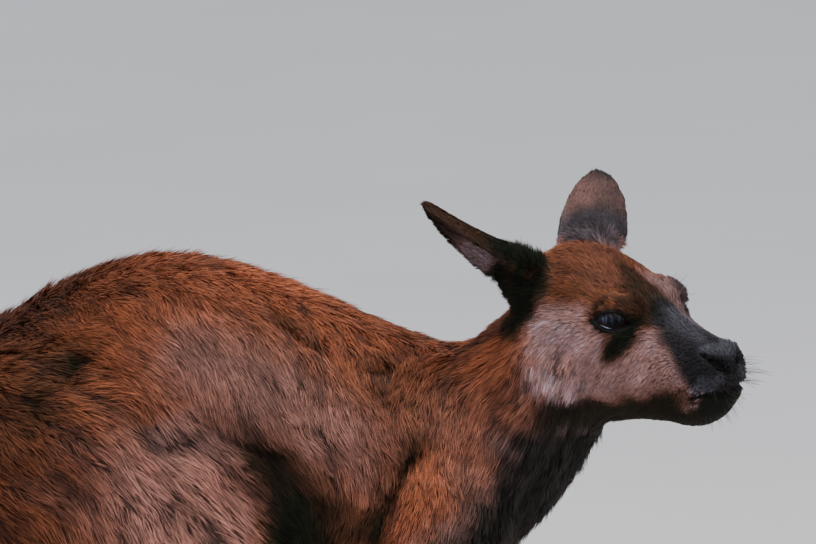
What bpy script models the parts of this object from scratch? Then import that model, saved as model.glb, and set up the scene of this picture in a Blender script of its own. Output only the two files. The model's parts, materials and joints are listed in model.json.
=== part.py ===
"""A crouching kangaroo, life size, parted into its named body regions.

Blender 4.5, metres, +Z up, +X towards the nose, +Y to the animal's left. While it is modelled, the
origin is under the hip joints; the finished model is centred over the origin, standing on Z = 0.
The surfaces are the outside of the coat.
"""

import math

import bmesh
import bpy
from mathutils import Matrix, Vector

# ---------------------------------------------------------------- driving dimensions
GAP = 0.0003  # between two regions that meet
BODY_VOXEL = 0.0065
HEAD_VOXEL = 0.0026
PAW_VOXEL = 0.0026
BODY_TRIANGLES = 2050
HEAD_TRIANGLES = 1820
FOOT_TRIANGLES = 330
HAND_TRIANGLES = 215

# Head: its own frame has +x to the nose, +y left and +z up, from a point midway between the eyes.
HEAD_CENTRE = Vector((0.470, -0.045, 0.513))
HEAD_YAW = math.radians(-33)  # turned to the animal's right
HEAD_ROLL = math.radians(4.5)
EYE_RADIUS = 0.0148
EYE_CENTRE = Vector((-0.004, 0.0264, -0.0015))
EAR_LENGTH = 0.098
EAR_THICKNESS = 0.0042
EAR_ROOT = Vector((-0.072, 0.030, 0.036))  # the root end of the line along the back of the ear

# Legs, right side; the left mirrors it.
HIP = Vector((0.0, -0.078, 0.405))
KNEE = Vector((0.172, -0.122, 0.298))
ANKLE = Vector((-0.148, -0.112, 0.052))
SHOULDER = Vector((0.326, -0.056, 0.352))
ELBOW = Vector((0.272, -0.094, 0.232))
WRIST = Vector((0.312, -0.080, 0.070))

COLOURS = {
    "coat": (0.20, 0.070, 0.035),
    "dark_coat": (0.045, 0.026, 0.020),
    "skin": (0.035, 0.028, 0.028),
    "eye": (0.012, 0.008, 0.006),
    "claw": (0.020, 0.018, 0.018),
}
ROUGHNESS = {"coat": 0.8, "dark_coat": 0.8, "skin": 0.55, "eye": 0.08, "claw": 0.35}


# ---------------------------------------------------------------- small tools
def clear_scene():
    for obj in list(bpy.data.objects):
        bpy.data.objects.remove(obj)


def material(slot):
    made = bpy.data.materials.get(slot)
    if made is None:
        made = bpy.data.materials.new(slot)
        made.use_nodes = True
        shader = made.node_tree.nodes["Principled BSDF"]
        shader.inputs["Base Color"].default_value = (*COLOURS[slot], 1.0)
        shader.inputs["Roughness"].default_value = ROUGHNESS[slot]
        shader.inputs["Metallic"].default_value = 0.0
    return made


def new_object(name, mesh):
    obj = bpy.data.objects.new(name, mesh)
    bpy.context.scene.collection.objects.link(obj)
    return obj


def settle(obj):
    """Replaces the object's mesh by what its modifiers make of it."""
    bpy.context.view_layer.update()
    graph = bpy.context.evaluated_depsgraph_get()
    mesh = bpy.data.meshes.new_from_object(obj.evaluated_get(graph))
    obj.modifiers.clear()
    obj.data = mesh
    return obj


def smooth_rows(rows, steps):
    """Catmull-Rom through rows of numbers, with that many steps from one row to the next."""
    out = []
    last = len(rows) - 1
    for i in range(last):
        a, b, c, d = rows[max(i - 1, 0)], rows[i], rows[i + 1], rows[min(i + 2, last)]
        for k in range(steps):
            t = k / steps
            out.append([
                0.5 * (2 * q + (r - p) * t + (2 * p - 5 * q + 4 * r - s) * t * t
                       + (3 * q - p - 3 * r + s) * t ** 3)
                for p, q, r, s in zip(a, b, c, d)
            ])
    out.append(list(rows[last]))
    return out


def oval(centre, side, up, sides, squareness=1.0, lower=1.0):
    """A closed ring round centre. squareness under 1 fills its corners; lower scales its lower half."""
    ring = []
    for i in range(sides):
        turn = 2 * math.pi * i / sides
        c, s = math.cos(turn), math.sin(turn)
        across = math.copysign(abs(s) ** squareness, s)
        along = math.copysign(abs(c) ** squareness, c) * (1.0 if c > 0 else lower)
        ring.append(centre + side * across + up * along)
    return ring


def limb_rings(rows, steps=4, sides=16, reference=Vector((0, 1, 0)), squareness=1.0):
    """Rings across a path. A row is x, y, z, half-width along the reference, half-height across it."""
    rows = smooth_rows(rows, steps)
    centres = [Vector(row[:3]) for row in rows]
    rings = []
    for i, row in enumerate(rows):
        tangent = centres[min(i + 1, len(rows) - 1)] - centres[max(i - 1, 0)]
        tangent.normalize()
        side = (reference - tangent * reference.dot(tangent)).normalized()
        up = tangent.cross(side)
        rings.append(oval(centres[i], side * row[3], up * row[4], sides, squareness))
    return rings


def ball_rings(centre, radii, turn=Matrix.Identity(3), sides=14, levels=8):
    """Rings of an ellipsoid, along its own x."""
    rings = []
    for i in range(1, levels):
        angle = math.pi * i / levels
        r, x = math.sin(angle), -math.cos(angle)
        rings.append([
            centre + turn @ Vector((
                radii[0] * x,
                radii[1] * r * math.cos(2 * math.pi * k / sides),
                radii[2] * r * math.sin(2 * math.pi * k / sides),
            ))
            for k in range(sides)
        ])
    return rings


def mirrored(rings):
    return [[Vector((p.x, -p.y, p.z)) for p in ring] for ring in rings]


def add_rings(bm, rings):
    """A closed tube through the rings, with flat ends."""
    made = [[bm.verts.new(p) for p in ring] for ring in rings]
    faces = []
    for a, b in zip(made, made[1:]):
        for i in range(len(a)):
            j = (i + 1) % len(a)
            faces.append(bm.faces.new((a[i], a[j], b[j], b[i])))
    faces.append(bm.faces.new(made[0][::-1]))
    faces.append(bm.faces.new(made[-1]))
    bmesh.ops.recalc_face_normals(bm, faces=faces)


def blend(name, tubes, voxel, rounds, triangles):
    """One closed smooth body out of overlapping tubes."""
    bm = bmesh.new()
    for rings in tubes:
        add_rings(bm, rings)
    mesh = bpy.data.meshes.new(name)
    bm.to_mesh(mesh)
    bm.free()
    obj = new_object(name, mesh)
    remesh = obj.modifiers.new("Remesh", "REMESH")
    remesh.mode = "VOXEL"
    remesh.voxel_size = voxel
    smooth = obj.modifiers.new("Smooth", "SMOOTH")
    smooth.factor = 0.5
    smooth.iterations = rounds
    settle(obj)
    made = sum(len(p.vertices) - 2 for p in obj.data.polygons)
    thin = obj.modifiers.new("Decimate", "DECIMATE")
    thin.ratio = min(1.0, triangles / made)
    return settle(obj)


# ---------------------------------------------------------------- cutting into regions
def prism(outline, at, turn, start, depth):
    """A closed block: an outline in the plane through at, from start to depth along its normal."""
    bm = bmesh.new()
    add_rings(bm, [[at + turn @ Vector((x, y, z)) for x, y in outline] for z in (start, depth)])
    mesh = bpy.data.meshes.new("cutter")
    bm.to_mesh(mesh)
    bm.free()
    return new_object("cutter", mesh)


def cut_outline(half, round_corners):
    """A rectangle's corners, or an oval's points."""
    if not round_corners:
        return [(half[0] * i, half[1] * j) for i, j in ((1, 1), (-1, 1), (-1, -1), (1, -1))]
    turns = [2 * math.pi * i / 18 for i in range(18)]
    return [(half[0] * math.cos(t), half[1] * math.sin(t)) for t in turns]


def combine(obj, other, operation):
    cut = obj.modifiers.new("Cut", "BOOLEAN")
    cut.operation = operation
    cut.solver = "EXACT"
    cut.object = other
    return settle(obj)


def copy_of(obj, name):
    return new_object(name, obj.data.copy())


def part_off(rest, name, at, normal, half=(0.3, 0.3), depth=0.6, along=None):
    """Takes the region beyond a plane off rest, as a new object, and leaves a gap between the two.

    The region reaches to half on each side, across and up the plane. With along, a direction in the
    plane, the region is an oval prism that is half[0] long that way.
    """
    at, normal = Vector(at), Vector(normal).normalized()
    turn = normal.to_track_quat("Z", "Y").to_matrix()
    if along:
        first = Vector(along).normalized()
        turn = Matrix((first, normal.cross(first), normal)).transposed()
    piece = copy_of(rest, name)
    wider = [h + GAP for h in half]
    near = prism(cut_outline(half, along), at, turn, GAP / 2, depth)
    far = prism(cut_outline(wider, along), at, turn, -GAP / 2, depth + GAP)
    combine(piece, near, "INTERSECT")
    combine(rest, far, "DIFFERENCE")
    for tool in (near, far):
        bpy.data.objects.remove(tool)
    return piece


def drop_beyond(obj, at, normal, start=-GAP / 2):
    """Removes what lies beyond a plane."""
    turn = Vector(normal).to_track_quat("Z", "Y").to_matrix()
    tool = prism(cut_outline((1.5, 1.5), False), Vector(at), turn, start, 0.9)
    combine(obj, tool, "DIFFERENCE")
    bpy.data.objects.remove(tool)


def make_room(flesh, piece, grow):
    """Cuts a bed for piece out of flesh. Each of the piece's points moves out by grow first."""
    bed = copy_of(piece, "bed")
    bm = bmesh.new()
    bm.from_mesh(bed.data)
    bm.normal_update()
    moved = [v.co + v.normal * grow for v in bm.verts]
    for vert, place in zip(bm.verts, moved):
        vert.co = place
    bm.to_mesh(bed.data)
    bm.free()
    combine(flesh, bed, "DIFFERENCE")
    bpy.data.objects.remove(bed)


# ---------------------------------------------------------------- trunk, neck and tail
# A rib is the back line's x and z, the belly line's x and z, the half-width, and the middle's y.
RIBS = [
    (-0.150, 0.352, -0.112, 0.292, 0.046, 0.0),
    (-0.108, 0.412, -0.070, 0.262, 0.078, 0.0),
    (-0.036, 0.469, -0.012, 0.238, 0.102, 0.0),
    (0.030, 0.511, 0.040, 0.226, 0.116, 0.0),
    (0.099, 0.531, 0.105, 0.222, 0.121, 0.0),
    (0.165, 0.523, 0.175, 0.230, 0.112, 0.0),
    (0.215, 0.506, 0.240, 0.243, 0.101, 0.0),
    (0.255, 0.491, 0.302, 0.260, 0.094, 0.0),
    (0.295, 0.476, 0.356, 0.310, 0.079, 0.0),
    (0.331, 0.474, 0.403, 0.362, 0.063, -0.005),
    (0.362, 0.501, 0.436, 0.415, 0.054, -0.014),
    (0.392, 0.532, 0.456, 0.448, 0.045, -0.022),
]


def rib_rings(rows, steps=4, sides=28):
    rings = []
    for x1, z1, x0, z0, width, y in smooth_rows(rows, steps):
        top, bottom = Vector((x1, y, z1)), Vector((x0, y, z0))
        rings.append(
            oval((top + bottom) / 2, Vector((0, width, 0)), (top - bottom) / 2, sides, 0.88)
        )
    return rings


TAIL = [
    (-0.085, 0.0, 0.352, 0.066, 0.070),
    (-0.150, 0.002, 0.282, 0.056, 0.062),
    (-0.215, 0.004, 0.190, 0.050, 0.055),
    (-0.285, 0.007, 0.103, 0.046, 0.049),
    (-0.365, 0.014, 0.048, 0.041, 0.043),
    (-0.460, 0.028, 0.0335, 0.035, 0.0355),
    (-0.570, 0.053, 0.0270, 0.029, 0.0290),
    (-0.680, 0.087, 0.0210, 0.023, 0.0228),
    (-0.780, 0.122, 0.0148, 0.017, 0.0165),
    (-0.850, 0.146, 0.0095, 0.0105, 0.0108),
    (-0.868, 0.152, 0.0080, 0.006, 0.006),
]

# ---------------------------------------------------------------- legs and arms, right side
THIGH = [
    (HIP.x - 0.085, HIP.y + 0.022, HIP.z - 0.012, 0.040, 0.052),
    (HIP.x - 0.045, HIP.y + 0.006, HIP.z - 0.022, 0.062, 0.094),
    (HIP.x + 0.010, HIP.y - 0.006, HIP.z - 0.038, 0.070, 0.114),
    (HIP.x + 0.070, HIP.y - 0.020, HIP.z - 0.066, 0.066, 0.104),
    (HIP.x + 0.122, HIP.y - 0.034, HIP.z - 0.088, 0.058, 0.082),
    (KNEE.x - 0.006, KNEE.y - 0.002, KNEE.z - 0.002, 0.050, 0.060),
    (KNEE.x + 0.028, KNEE.y, KNEE.z - 0.020, 0.036, 0.040),
]
SHANK = [
    (KNEE.x + 0.022, KNEE.y, KNEE.z + 0.002, 0.034, 0.036),
    (KNEE.x - 0.012, KNEE.y, KNEE.z - 0.030, 0.044, 0.052),
    (KNEE.x - 0.070, KNEE.y + 0.002, KNEE.z - 0.076, 0.040, 0.049),
    (KNEE.x - 0.140, KNEE.y + 0.005, KNEE.z - 0.130, 0.029, 0.036),
    (KNEE.x - 0.215, KNEE.y + 0.008, KNEE.z - 0.184, 0.0205, 0.0265),
    (ANKLE.x + 0.035, ANKLE.y - 0.001, ANKLE.z + 0.028, 0.018, 0.0250),
    (ANKLE.x - 0.004, ANKLE.y, ANKLE.z - 0.004, 0.0205, 0.0260),
]
ARM = [
    (SHOULDER.x + 0.004, SHOULDER.y + 0.020, SHOULDER.z + 0.052, 0.030, 0.030),
    (SHOULDER.x + 0.002, SHOULDER.y - 0.004, SHOULDER.z + 0.016, 0.037, 0.046),
    (SHOULDER.x - 0.010, SHOULDER.y - 0.018, SHOULDER.z - 0.030, 0.034, 0.046),
    (SHOULDER.x - 0.030, SHOULDER.y - 0.030, SHOULDER.z - 0.078, 0.030, 0.038),
    (ELBOW.x + 0.004, ELBOW.y, ELBOW.z, 0.027, 0.031),
    (ELBOW.x + 0.010, ELBOW.y + 0.002, ELBOW.z - 0.040, 0.0255, 0.0285),
    (ELBOW.x + 0.022, ELBOW.y + 0.007, ELBOW.z - 0.094, 0.0205, 0.0225),
    (WRIST.x - 0.006, WRIST.y - 0.001, WRIST.z + 0.022, 0.0165, 0.0165),
    (WRIST.x + 0.002, WRIST.y, WRIST.z - 0.002, 0.0170, 0.0160),
]


def body_tubes():
    tubes = [rib_rings(RIBS), limb_rings(TAIL, sides=20)]
    for rows in (THIGH, SHANK, ARM):
        rings = limb_rings(rows, sides=18)
        tubes += [rings, mirrored(rings)]
    return tubes


# ---------------------------------------------------------------- head and ears
# A section is x, top, bottom, then half-widths high up, at mid-height and low down, in millimetres.
HEAD_SECTIONS = [
    (-104, 10, -50, 17, 27, 20),
    (-92, 27, -70, 24, 36, 28),
    (-74, 40, -83, 30, 42, 32),
    (-52, 42.5, -88, 32, 46, 33),
    (-30, 37.5, -87, 34, 47, 33),
    (-10, 26, -83, 36.5, 45, 30),
    (10, 15, -80, 30.5, 39.5, 27),
    (30, 4, -79, 20, 31, 24),
    (47, -4, -80, 16, 26, 22),
    (61, -9.5, -77, 15.5, 24.5, 20),
    (73, -14, -69, 17, 23.5, 17),
    (80, -19, -60, 15, 20.5, 13),
    (85, -27, -51, 9, 14, 9),
]
SECTION_HEIGHTS = (0.72, 0.0, -0.70)


def head_frame():
    """Carries the head's own frame to the animal's."""
    yaw = Matrix.Rotation(HEAD_YAW, 4, "Z")
    roll = Matrix.Rotation(HEAD_ROLL, 4, "X")
    return Matrix.Translation(HEAD_CENTRE) @ yaw @ roll


def head_rings(steps=4, sides=32):
    rings = []
    for x, top, bottom, high, middle, low in smooth_rows(HEAD_SECTIONS, steps):
        centre, half = (top + bottom) / 2, (top - bottom) / 2
        right = [(w, centre + half * h) for w, h in zip((high, middle, low), SECTION_HEIGHTS)]
        outline = [(0, top), *right, (0, bottom), *[(-w, z) for w, z in reversed(right)]]
        outline = outline[-2:] + outline + outline[:3]
        smooth = smooth_rows(outline, sides // 8)[2 * (sides // 8):][:sides]
        rings.append([Vector((x, y, z)) / 1000 for y, z in smooth])
    return rings


def ear_rings(side, along, opening, twist=0.0, sag=0.0, flat=1.0, aside=0.0, across=9):
    """A cupped leaf: each ring is a crescent, nearly a closed tube at the root and shallow at the tip.

    twist turns the tip about the ear's length (radians), sag bends it towards its opening (m), flat
    opens the cup out (a share of the arc's angle) and aside moves its root one way and its tip the other (m).
    """
    along, opening = Vector(along).normalized(), Vector(opening)
    opening = (opening - along * opening.dot(along)).normalized()
    root = Vector((EAR_ROOT.x, side * EAR_ROOT.y, EAR_ROOT.z))
    shape = smooth_rows(
        [  # share of the length, half-width along the arc (m), half of the arc's angle (radians)
            (0.00, 0.0300, 2.20), (0.15, 0.0350, 1.85), (0.32, 0.0355, 1.50), (0.50, 0.0320, 1.20),
            (0.68, 0.0275, 1.05), (0.84, 0.0215, 0.95), (0.95, 0.0145, 0.85), (1.00, 0.0070, 0.75),
        ], 2)
    rings = []
    wide = along.cross(opening)
    for share, width, angle in shape:
        open_out = 1 + (flat - 1) * min(1.0, share / 0.15)
        angle = angle * open_out
        radius = width / angle
        inner = max(radius - EAR_THICKNESS, radius * 0.25)
        turned = Matrix.Rotation(twist * share * share, 3, along)
        facing, sideways = turned @ opening, turned @ wide
        middle = root + along * EAR_LENGTH * share + facing * radius
        middle += opening * sag * 4 * share * (1 - share)
        middle += wide * aside * (min(1.0, share / 0.15) - 1.9 * share)
        arc = [angle * (2 * i / (across - 1) - 1) for i in range(across)]
        ring = [middle + (sideways * math.sin(a) - facing * math.cos(a)) * radius for a in arc]
        ring += [middle + (sideways * math.sin(a) - facing * math.cos(a)) * inner for a in arc[::-1]]
        rings.append(ring)
    return rings


def ear_bulb(side, along):
    """The swelling at the ear's root, where it meets the skull."""
    turn = Vector(along).to_track_quat("X", "Z").to_matrix()
    centre = Vector((EAR_ROOT.x - 0.002, side * (EAR_ROOT.y + 0.001), EAR_ROOT.z - 0.022))
    return ball_rings(centre, (0.029, 0.021, 0.022), turn)


RIGHT_EAR = {"along": (-0.521, -0.663, 0.544), "opening": (0.04, -0.73, -0.68), "twist": -0.45, "sag": 0.003}
LEFT_EAR = {"along": (-0.613, 0.717, 0.336), "opening": (-0.312, 0.300, -0.900), "flat": 0.8, "aside": 0.003}


def head_tubes():
    tubes = [head_rings()]
    for side in (-1, 1):
        tubes.append(ball_rings(Vector((-0.004, side * 0.0225, 0.0070)), (0.027, 0.0155, 0.0135)))
        tubes.append(ball_rings(Vector((-0.010, side * 0.0280, -0.0190)), (0.032, 0.0135, 0.0130)))
        tubes.append(ball_rings(Vector((0.071, side * 0.0105, -0.026)), (0.013, 0.0115, 0.012)))
        ear = RIGHT_EAR if side < 0 else LEFT_EAR
        tubes.append(ear_rings(side, **ear))
        tubes.append(ear_bulb(side, ear["along"]))
    frame = head_frame()
    return [[[frame @ p for p in ring] for ring in rings] for rings in tubes]


def eyeball(name, side):
    bm = bmesh.new()
    bmesh.ops.create_uvsphere(bm, u_segments=12, v_segments=8, radius=EYE_RADIUS)
    place = Vector((EYE_CENTRE.x, side * EYE_CENTRE.y, EYE_CENTRE.z))
    bmesh.ops.transform(bm, matrix=head_frame() @ Matrix.Translation(place), verts=bm.verts)
    mesh = bpy.data.meshes.new(name)
    bm.to_mesh(mesh)
    bm.free()
    return new_object(name, mesh)


# ---------------------------------------------------------------- hind feet and hands
FOOT_ROWS = [
    (ANKLE.x - 0.022, ANKLE.y, 0.030, 0.014, 0.018),
    (ANKLE.x - 0.012, ANKLE.y, 0.027, 0.0185, 0.026),
    (ANKLE.x + 0.018, ANKLE.y, 0.026, 0.0200, 0.0275),
    (ANKLE.x + 0.070, ANKLE.y - 0.002, 0.0185, 0.0205, 0.0205),
    (ANKLE.x + 0.130, ANKLE.y - 0.004, 0.0155, 0.0215, 0.0175),
    (ANKLE.x + 0.175, ANKLE.y - 0.005, 0.0135, 0.0205, 0.0155),
    (ANKLE.x + 0.200, ANKLE.y - 0.005, 0.0125, 0.0160, 0.0145),
]
# A toe is its root's distance from the heel, its offset from the middle (+ is inwards), length and radius.
TOES = {
    "fourth": (0.176, -0.002, 0.070, 0.0138),
    "fifth": (0.150, -0.0185, 0.052, 0.0098),
    "groomers": (0.150, 0.0165, 0.034, 0.0072),
}
FINGERS = 5


def foot_tubes():
    tubes = [limb_rings(FOOT_ROWS, sides=16, squareness=0.9)]
    tubes.append(limb_rings([
        (ANKLE.x + 0.050, ANKLE.y, ANKLE.z + 0.040, 0.0180, 0.0250),
        (ANKLE.x + 0.012, ANKLE.y, ANKLE.z + 0.012, 0.0195, 0.0260),
        (ANKLE.x + 0.000, ANKLE.y, ANKLE.z - 0.020, 0.0185, 0.0240),
    ]))
    for start, offset, length, radius in TOES.values():
        x, y = ANKLE.x + start, ANKLE.y - 0.005 + offset
        spread = offset * 0.35
        tubes.append(limb_rings([
            (x - 0.030, y - spread * 0.6, radius * 1.05, radius * 0.9, radius * 0.95),
            (x, y, radius * 1.02, radius, radius * 1.02),
            (x + length * 0.55, y + spread * 0.5, radius * 0.86, radius * 0.92, radius * 0.92),
            (x + length * 0.90, y + spread, radius * 0.82, radius * 0.80, radius * 0.84),
            (x + length, y + spread, radius * 0.80, radius * 0.45, radius * 0.50),
        ], sides=12))
    return tubes


def finger(index):
    """(root, knuckle, tip) of a finger, 0 the thumb side, which is the inner one."""
    fan = (index - 2) / 2
    root = Vector((WRIST.x + 0.014, WRIST.y - 0.0130 * fan, 0.032))
    knuckle = root + Vector((0.012 - 0.004 * abs(fan), -0.004 * fan, -0.020))
    tip = knuckle + Vector((0.019 - 0.005 * abs(fan), -0.009 * fan, -0.0090))
    return root, knuckle, tip


def hand_tubes():
    tubes = [limb_rings([
        (WRIST.x - 0.008, WRIST.y - 0.001, WRIST.z + 0.026, 0.0160, 0.0160),
        (WRIST.x + 0.002, WRIST.y, WRIST.z, 0.0168, 0.0158),
        (WRIST.x + 0.010, WRIST.y, WRIST.z - 0.022, 0.0190, 0.0140),
        (WRIST.x + 0.019, WRIST.y, WRIST.z - 0.042, 0.0205, 0.0120),
        (WRIST.x + 0.026, WRIST.y, WRIST.z - 0.058, 0.0170, 0.0090),
    ], sides=14, squareness=0.85)]
    for index in range(FINGERS):
        root, knuckle, tip = finger(index)
        tubes.append(limb_rings([
            (*root, 0.0062, 0.0068), (*knuckle, 0.0056, 0.0060), (*tip, 0.0050, 0.0050),
        ], sides=10))
    return tubes


def claw_rings(root, direction, length, radius, drop):
    """A pointed claw that curves down along its length."""
    forward = Vector(direction).normalized()
    rows = []
    for share, size in ((0.0, 1.0), (0.4, 0.88), (0.75, 0.48), (1.0, 0.08)):
        place = root + forward * length * share - Vector((0, 0, drop * share * share))
        rows.append((*place, radius * size * 0.72, radius * size))
    side = forward.cross(Vector((0, 0, 1))).normalized()
    return limb_rings(rows, steps=1, sides=5, reference=side)


def claw_object(name, rings):
    bm = bmesh.new()
    add_rings(bm, rings)
    bmesh.ops.triangulate(bm, faces=bm.faces)
    mesh = bpy.data.meshes.new(name)
    bm.to_mesh(mesh)
    bm.free()
    return new_object(name, mesh)


def foot_claws():
    claws = {}
    for toe, (start, offset, length, radius) in TOES.items():
        x, y = ANKLE.x + start + length, ANKLE.y - 0.005 + offset * 1.35
        root = Vector((x - 0.010, y, radius * 1.02))
        sizes = {"fourth": (0.036, 0.0078, 0.0065), "fifth": (0.024, 0.0052, 0.0042),
                 "groomers": (0.015, 0.0034, 0.0026)}[toe]
        claws[f"claw_{toe}_toe"] = claw_rings(root, (1, offset * 4, 0.0), *sizes)
    return claws


def hand_claws():
    claws = {}
    for index in range(FINGERS):
        _, knuckle, tip = finger(index)
        direction = tip - knuckle
        direction.z *= 0.1
        root = tip + Vector((-0.002, 0, 0.0048))
        claws[f"claw_finger_{index + 1}"] = claw_rings(root, direction, 0.019, 0.0030, 0.0030)
    return claws


# ---------------------------------------------------------------- the whole animal
NECK_BASE = {"at": (0.330, 0.0, 0.398), "normal": (0.909, 0.0, 0.416)}
NECK_TOP = {"at": (0.4035, -0.016, 0.466), "normal": (0.745, -0.17, 0.645)}


def trunk_and_limbs():
    """Names each region of the body apart from head, hands and feet."""
    rest = blend("trunk_middle", body_tubes(), BODY_VOXEL, 9, BODY_TRIANGLES)
    drop_beyond(rest, NECK_TOP["at"], NECK_TOP["normal"])
    regions = [part_off(rest, "neck", **NECK_BASE, half=(0.2, 0.2), depth=0.3)]
    regions.append(part_off(rest, "tail_tip", (-0.625, 0.068, 0.024), (-0.95, 0.31, 0.0)))
    regions.append(part_off(rest, "tail_middle", (-0.385, 0.017, 0.045), (-0.98, 0.17, -0.1)))
    lean = (-0.68, 0.0, -0.73)
    regions.append(part_off(rest, "tail_base", (-0.135, 0.0, 0.305), lean, (0.085, 0.13), 0.5))
    for side, word in ((-1, "right"), (1, "left")):
        across = (0.0, side, 0.0)
        bend = (ELBOW.x, side * abs(ELBOW.y), ELBOW.z - 0.012)
        forearm = part_off(rest, f"forearm_{word}", bend, (0.2, 0.0, -1.0), (0.05, 0.06), 0.25)
        drop_beyond(forearm, (WRIST.x, 0.0, WRIST.z + 0.006), (0.25, 0.0, -1.0))
        lean = (-0.25, 0.0, -0.97)
        arm = part_off(rest, f"upper_arm_{word}", (0.300, side * 0.068, 0.305), across, (0.118, 0.056),
                       along=lean)
        at = (0.009, side * 0.129, 0.189)
        shank = part_off(rest, f"shank_{word}", at, (0.475, 0.0, -0.88), (0.071, 0.2235), 0.095)
        drop_beyond(shank, (ANKLE.x, 0.0, ANKLE.z + 0.012), (0.0, 0.0, -1.0))
        lean = (0.85, 0.0, -0.53)
        thigh = part_off(rest, f"thigh_{word}", (0.050, side * 0.060, 0.322), across, (0.202, 0.152),
                         along=lean)
        regions += [thigh, shank, arm, forearm]
    front = part_off(rest, "shoulders", (0.235, 0.0, 0.38), (1.0, 0.0, 0.15))
    back = part_off(rest, "rump", (0.015, 0.0, 0.38), (-1.0, 0.0, 0.1))
    return [*regions, front, back, rest]


def head_and_ears():
    upper_neck = rib_rings(RIBS[8:])
    head = blend("head", [*head_tubes(), upper_neck], HEAD_VOXEL, 8, HEAD_TRIANGLES)
    back = [-c for c in NECK_TOP["normal"]]
    drop_beyond(head, NECK_TOP["at"], back)
    frame = head_frame()
    turn = frame.to_3x3()
    regions = []
    for side, word, ear in ((-1, "right", RIGHT_EAR), (1, "left", LEFT_EAR)):
        eye = eyeball(f"eye_{word}", side)
        make_room(head, eye, 0.0004)
        along = Vector(ear["along"]).normalized()
        root = Vector((EAR_ROOT.x, side * EAR_ROOT.y, EAR_ROOT.z)) + along * 0.024
        made = part_off(head, f"ear_{word}", frame @ root, turn @ along, (0.06, 0.06), 0.15)
        regions += [eye, made]
    mouth = frame @ Vector((0.057, 0.0, -0.0535))
    jaw = part_off(head, "lower_jaw", mouth, turn @ Vector((0.10, 0.0, -1.0)), (0.036, 0.05), 0.06)
    return [*regions, jaw, head]


def hands_and_feet():
    made = []
    kinds = (
        ("foot", foot_tubes(), 4, FOOT_TRIANGLES, foot_claws(),
         (ANKLE.x, 0.0, ANKLE.z + 0.012), (0.0, 0.0, 1.0)),
        ("hand", hand_tubes(), 2, HAND_TRIANGLES, hand_claws(),
         (WRIST.x, 0.0, WRIST.z + 0.006), (-0.25, 0.0, 1.0)),
    )
    for kind, tubes, rounds, triangles, claws, at, normal in kinds:
        for flip, word in ((False, "right"), (True, "left")):
            placed = [mirrored(t) for t in tubes] if flip else tubes
            flesh = blend(f"{kind}_{word}", placed, PAW_VOXEL, rounds, triangles)
            drop_beyond(flesh, at, normal)
            for name, rings in claws.items():
                rings = mirrored(rings) if flip else rings
                claw = claw_object(f"{name}_{word}", rings)
                make_room(flesh, claw, 0.0004)
                made.append(claw)
            made.append(flesh)
    return made


def finish(regions):
    """Floor, materials and smooth shading, and the model centred over the origin."""
    for obj in regions:
        drop_beyond(obj, (0, 0, 0), (0, 0, -1), start=0.0)  # leaves small flats, all at one level
    corners = [v.co for obj in regions for v in obj.data.vertices]
    middle = [(min(c[i] for c in corners) + max(c[i] for c in corners)) / 2 for i in (0, 1)]
    for obj in regions:
        obj.data.transform(Matrix.Translation((-middle[0], -middle[1], 0.0)))
        slot = "claw" if obj.name.startswith("claw") else "coat"
        slot = "eye" if obj.name.startswith("eye") else slot
        slot = "dark_coat" if obj.name.startswith(("hand", "foot", "ear")) else slot
        obj.data.materials.clear()
        obj.data.materials.append(material(slot))
        obj.data.shade_smooth()
        obj.data.set_sharp_from_angle(angle=math.radians(45))
    print("moved by", [-round(m, 5) for m in middle])


clear_scene()
finish(trunk_and_limbs() + head_and_ears() + hands_and_feet())
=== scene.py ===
# A life-size still kangaroo, crouched on all fours with its head raised and turned.
import json
import math

import bpy
import numpy as np
from mathutils import Matrix, Vector
from mathutils.bvhtree import BVHTree

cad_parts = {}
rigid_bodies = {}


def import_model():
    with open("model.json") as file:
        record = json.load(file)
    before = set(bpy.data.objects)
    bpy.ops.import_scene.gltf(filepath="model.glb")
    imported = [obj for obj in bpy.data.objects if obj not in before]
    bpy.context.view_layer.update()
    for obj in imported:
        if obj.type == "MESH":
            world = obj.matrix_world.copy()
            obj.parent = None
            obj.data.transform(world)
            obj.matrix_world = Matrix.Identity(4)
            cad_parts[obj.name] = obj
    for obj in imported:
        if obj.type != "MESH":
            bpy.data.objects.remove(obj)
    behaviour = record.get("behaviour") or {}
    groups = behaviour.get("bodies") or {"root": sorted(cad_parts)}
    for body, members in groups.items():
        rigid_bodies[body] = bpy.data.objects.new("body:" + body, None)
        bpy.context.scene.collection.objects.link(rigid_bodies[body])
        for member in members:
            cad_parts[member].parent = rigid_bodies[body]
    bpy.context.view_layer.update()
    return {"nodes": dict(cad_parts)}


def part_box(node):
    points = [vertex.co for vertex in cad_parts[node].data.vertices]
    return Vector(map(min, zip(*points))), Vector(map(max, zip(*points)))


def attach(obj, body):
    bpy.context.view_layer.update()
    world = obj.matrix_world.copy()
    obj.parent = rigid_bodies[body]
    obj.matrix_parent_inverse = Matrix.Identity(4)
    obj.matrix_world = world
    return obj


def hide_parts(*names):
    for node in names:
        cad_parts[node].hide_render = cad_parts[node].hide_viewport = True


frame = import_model()
nodes = frame["nodes"]
millimetre = 0.001
mirrors = [np.array([1, flip, 1]) for flip in (1, -1)]  # a place on the right, then its twin on the left


def smoothStep(low, high, value):
    share = np.clip((np.asarray(value, float) - low) / (high - low), 0.0, 1.0)
    return share * share * (3.0 - 2.0 * share)


def hump(value, middle, wide):
    return np.exp(-(((value - middle) / wide) ** 2))


def most(*layers):
    return np.maximum.reduce(layers)


def unit(vectors):
    return vectors / np.maximum(np.linalg.norm(vectors, axis=-1, keepdims=True), 1e-9)


def flattened(ways, normals):
    # the ways turned to lie along the surface
    return unit(ways - normals * (ways * normals).sum(1)[:, None])


def boxMiddle(node):
    low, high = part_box(node)
    return (low + high) / 2


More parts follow.
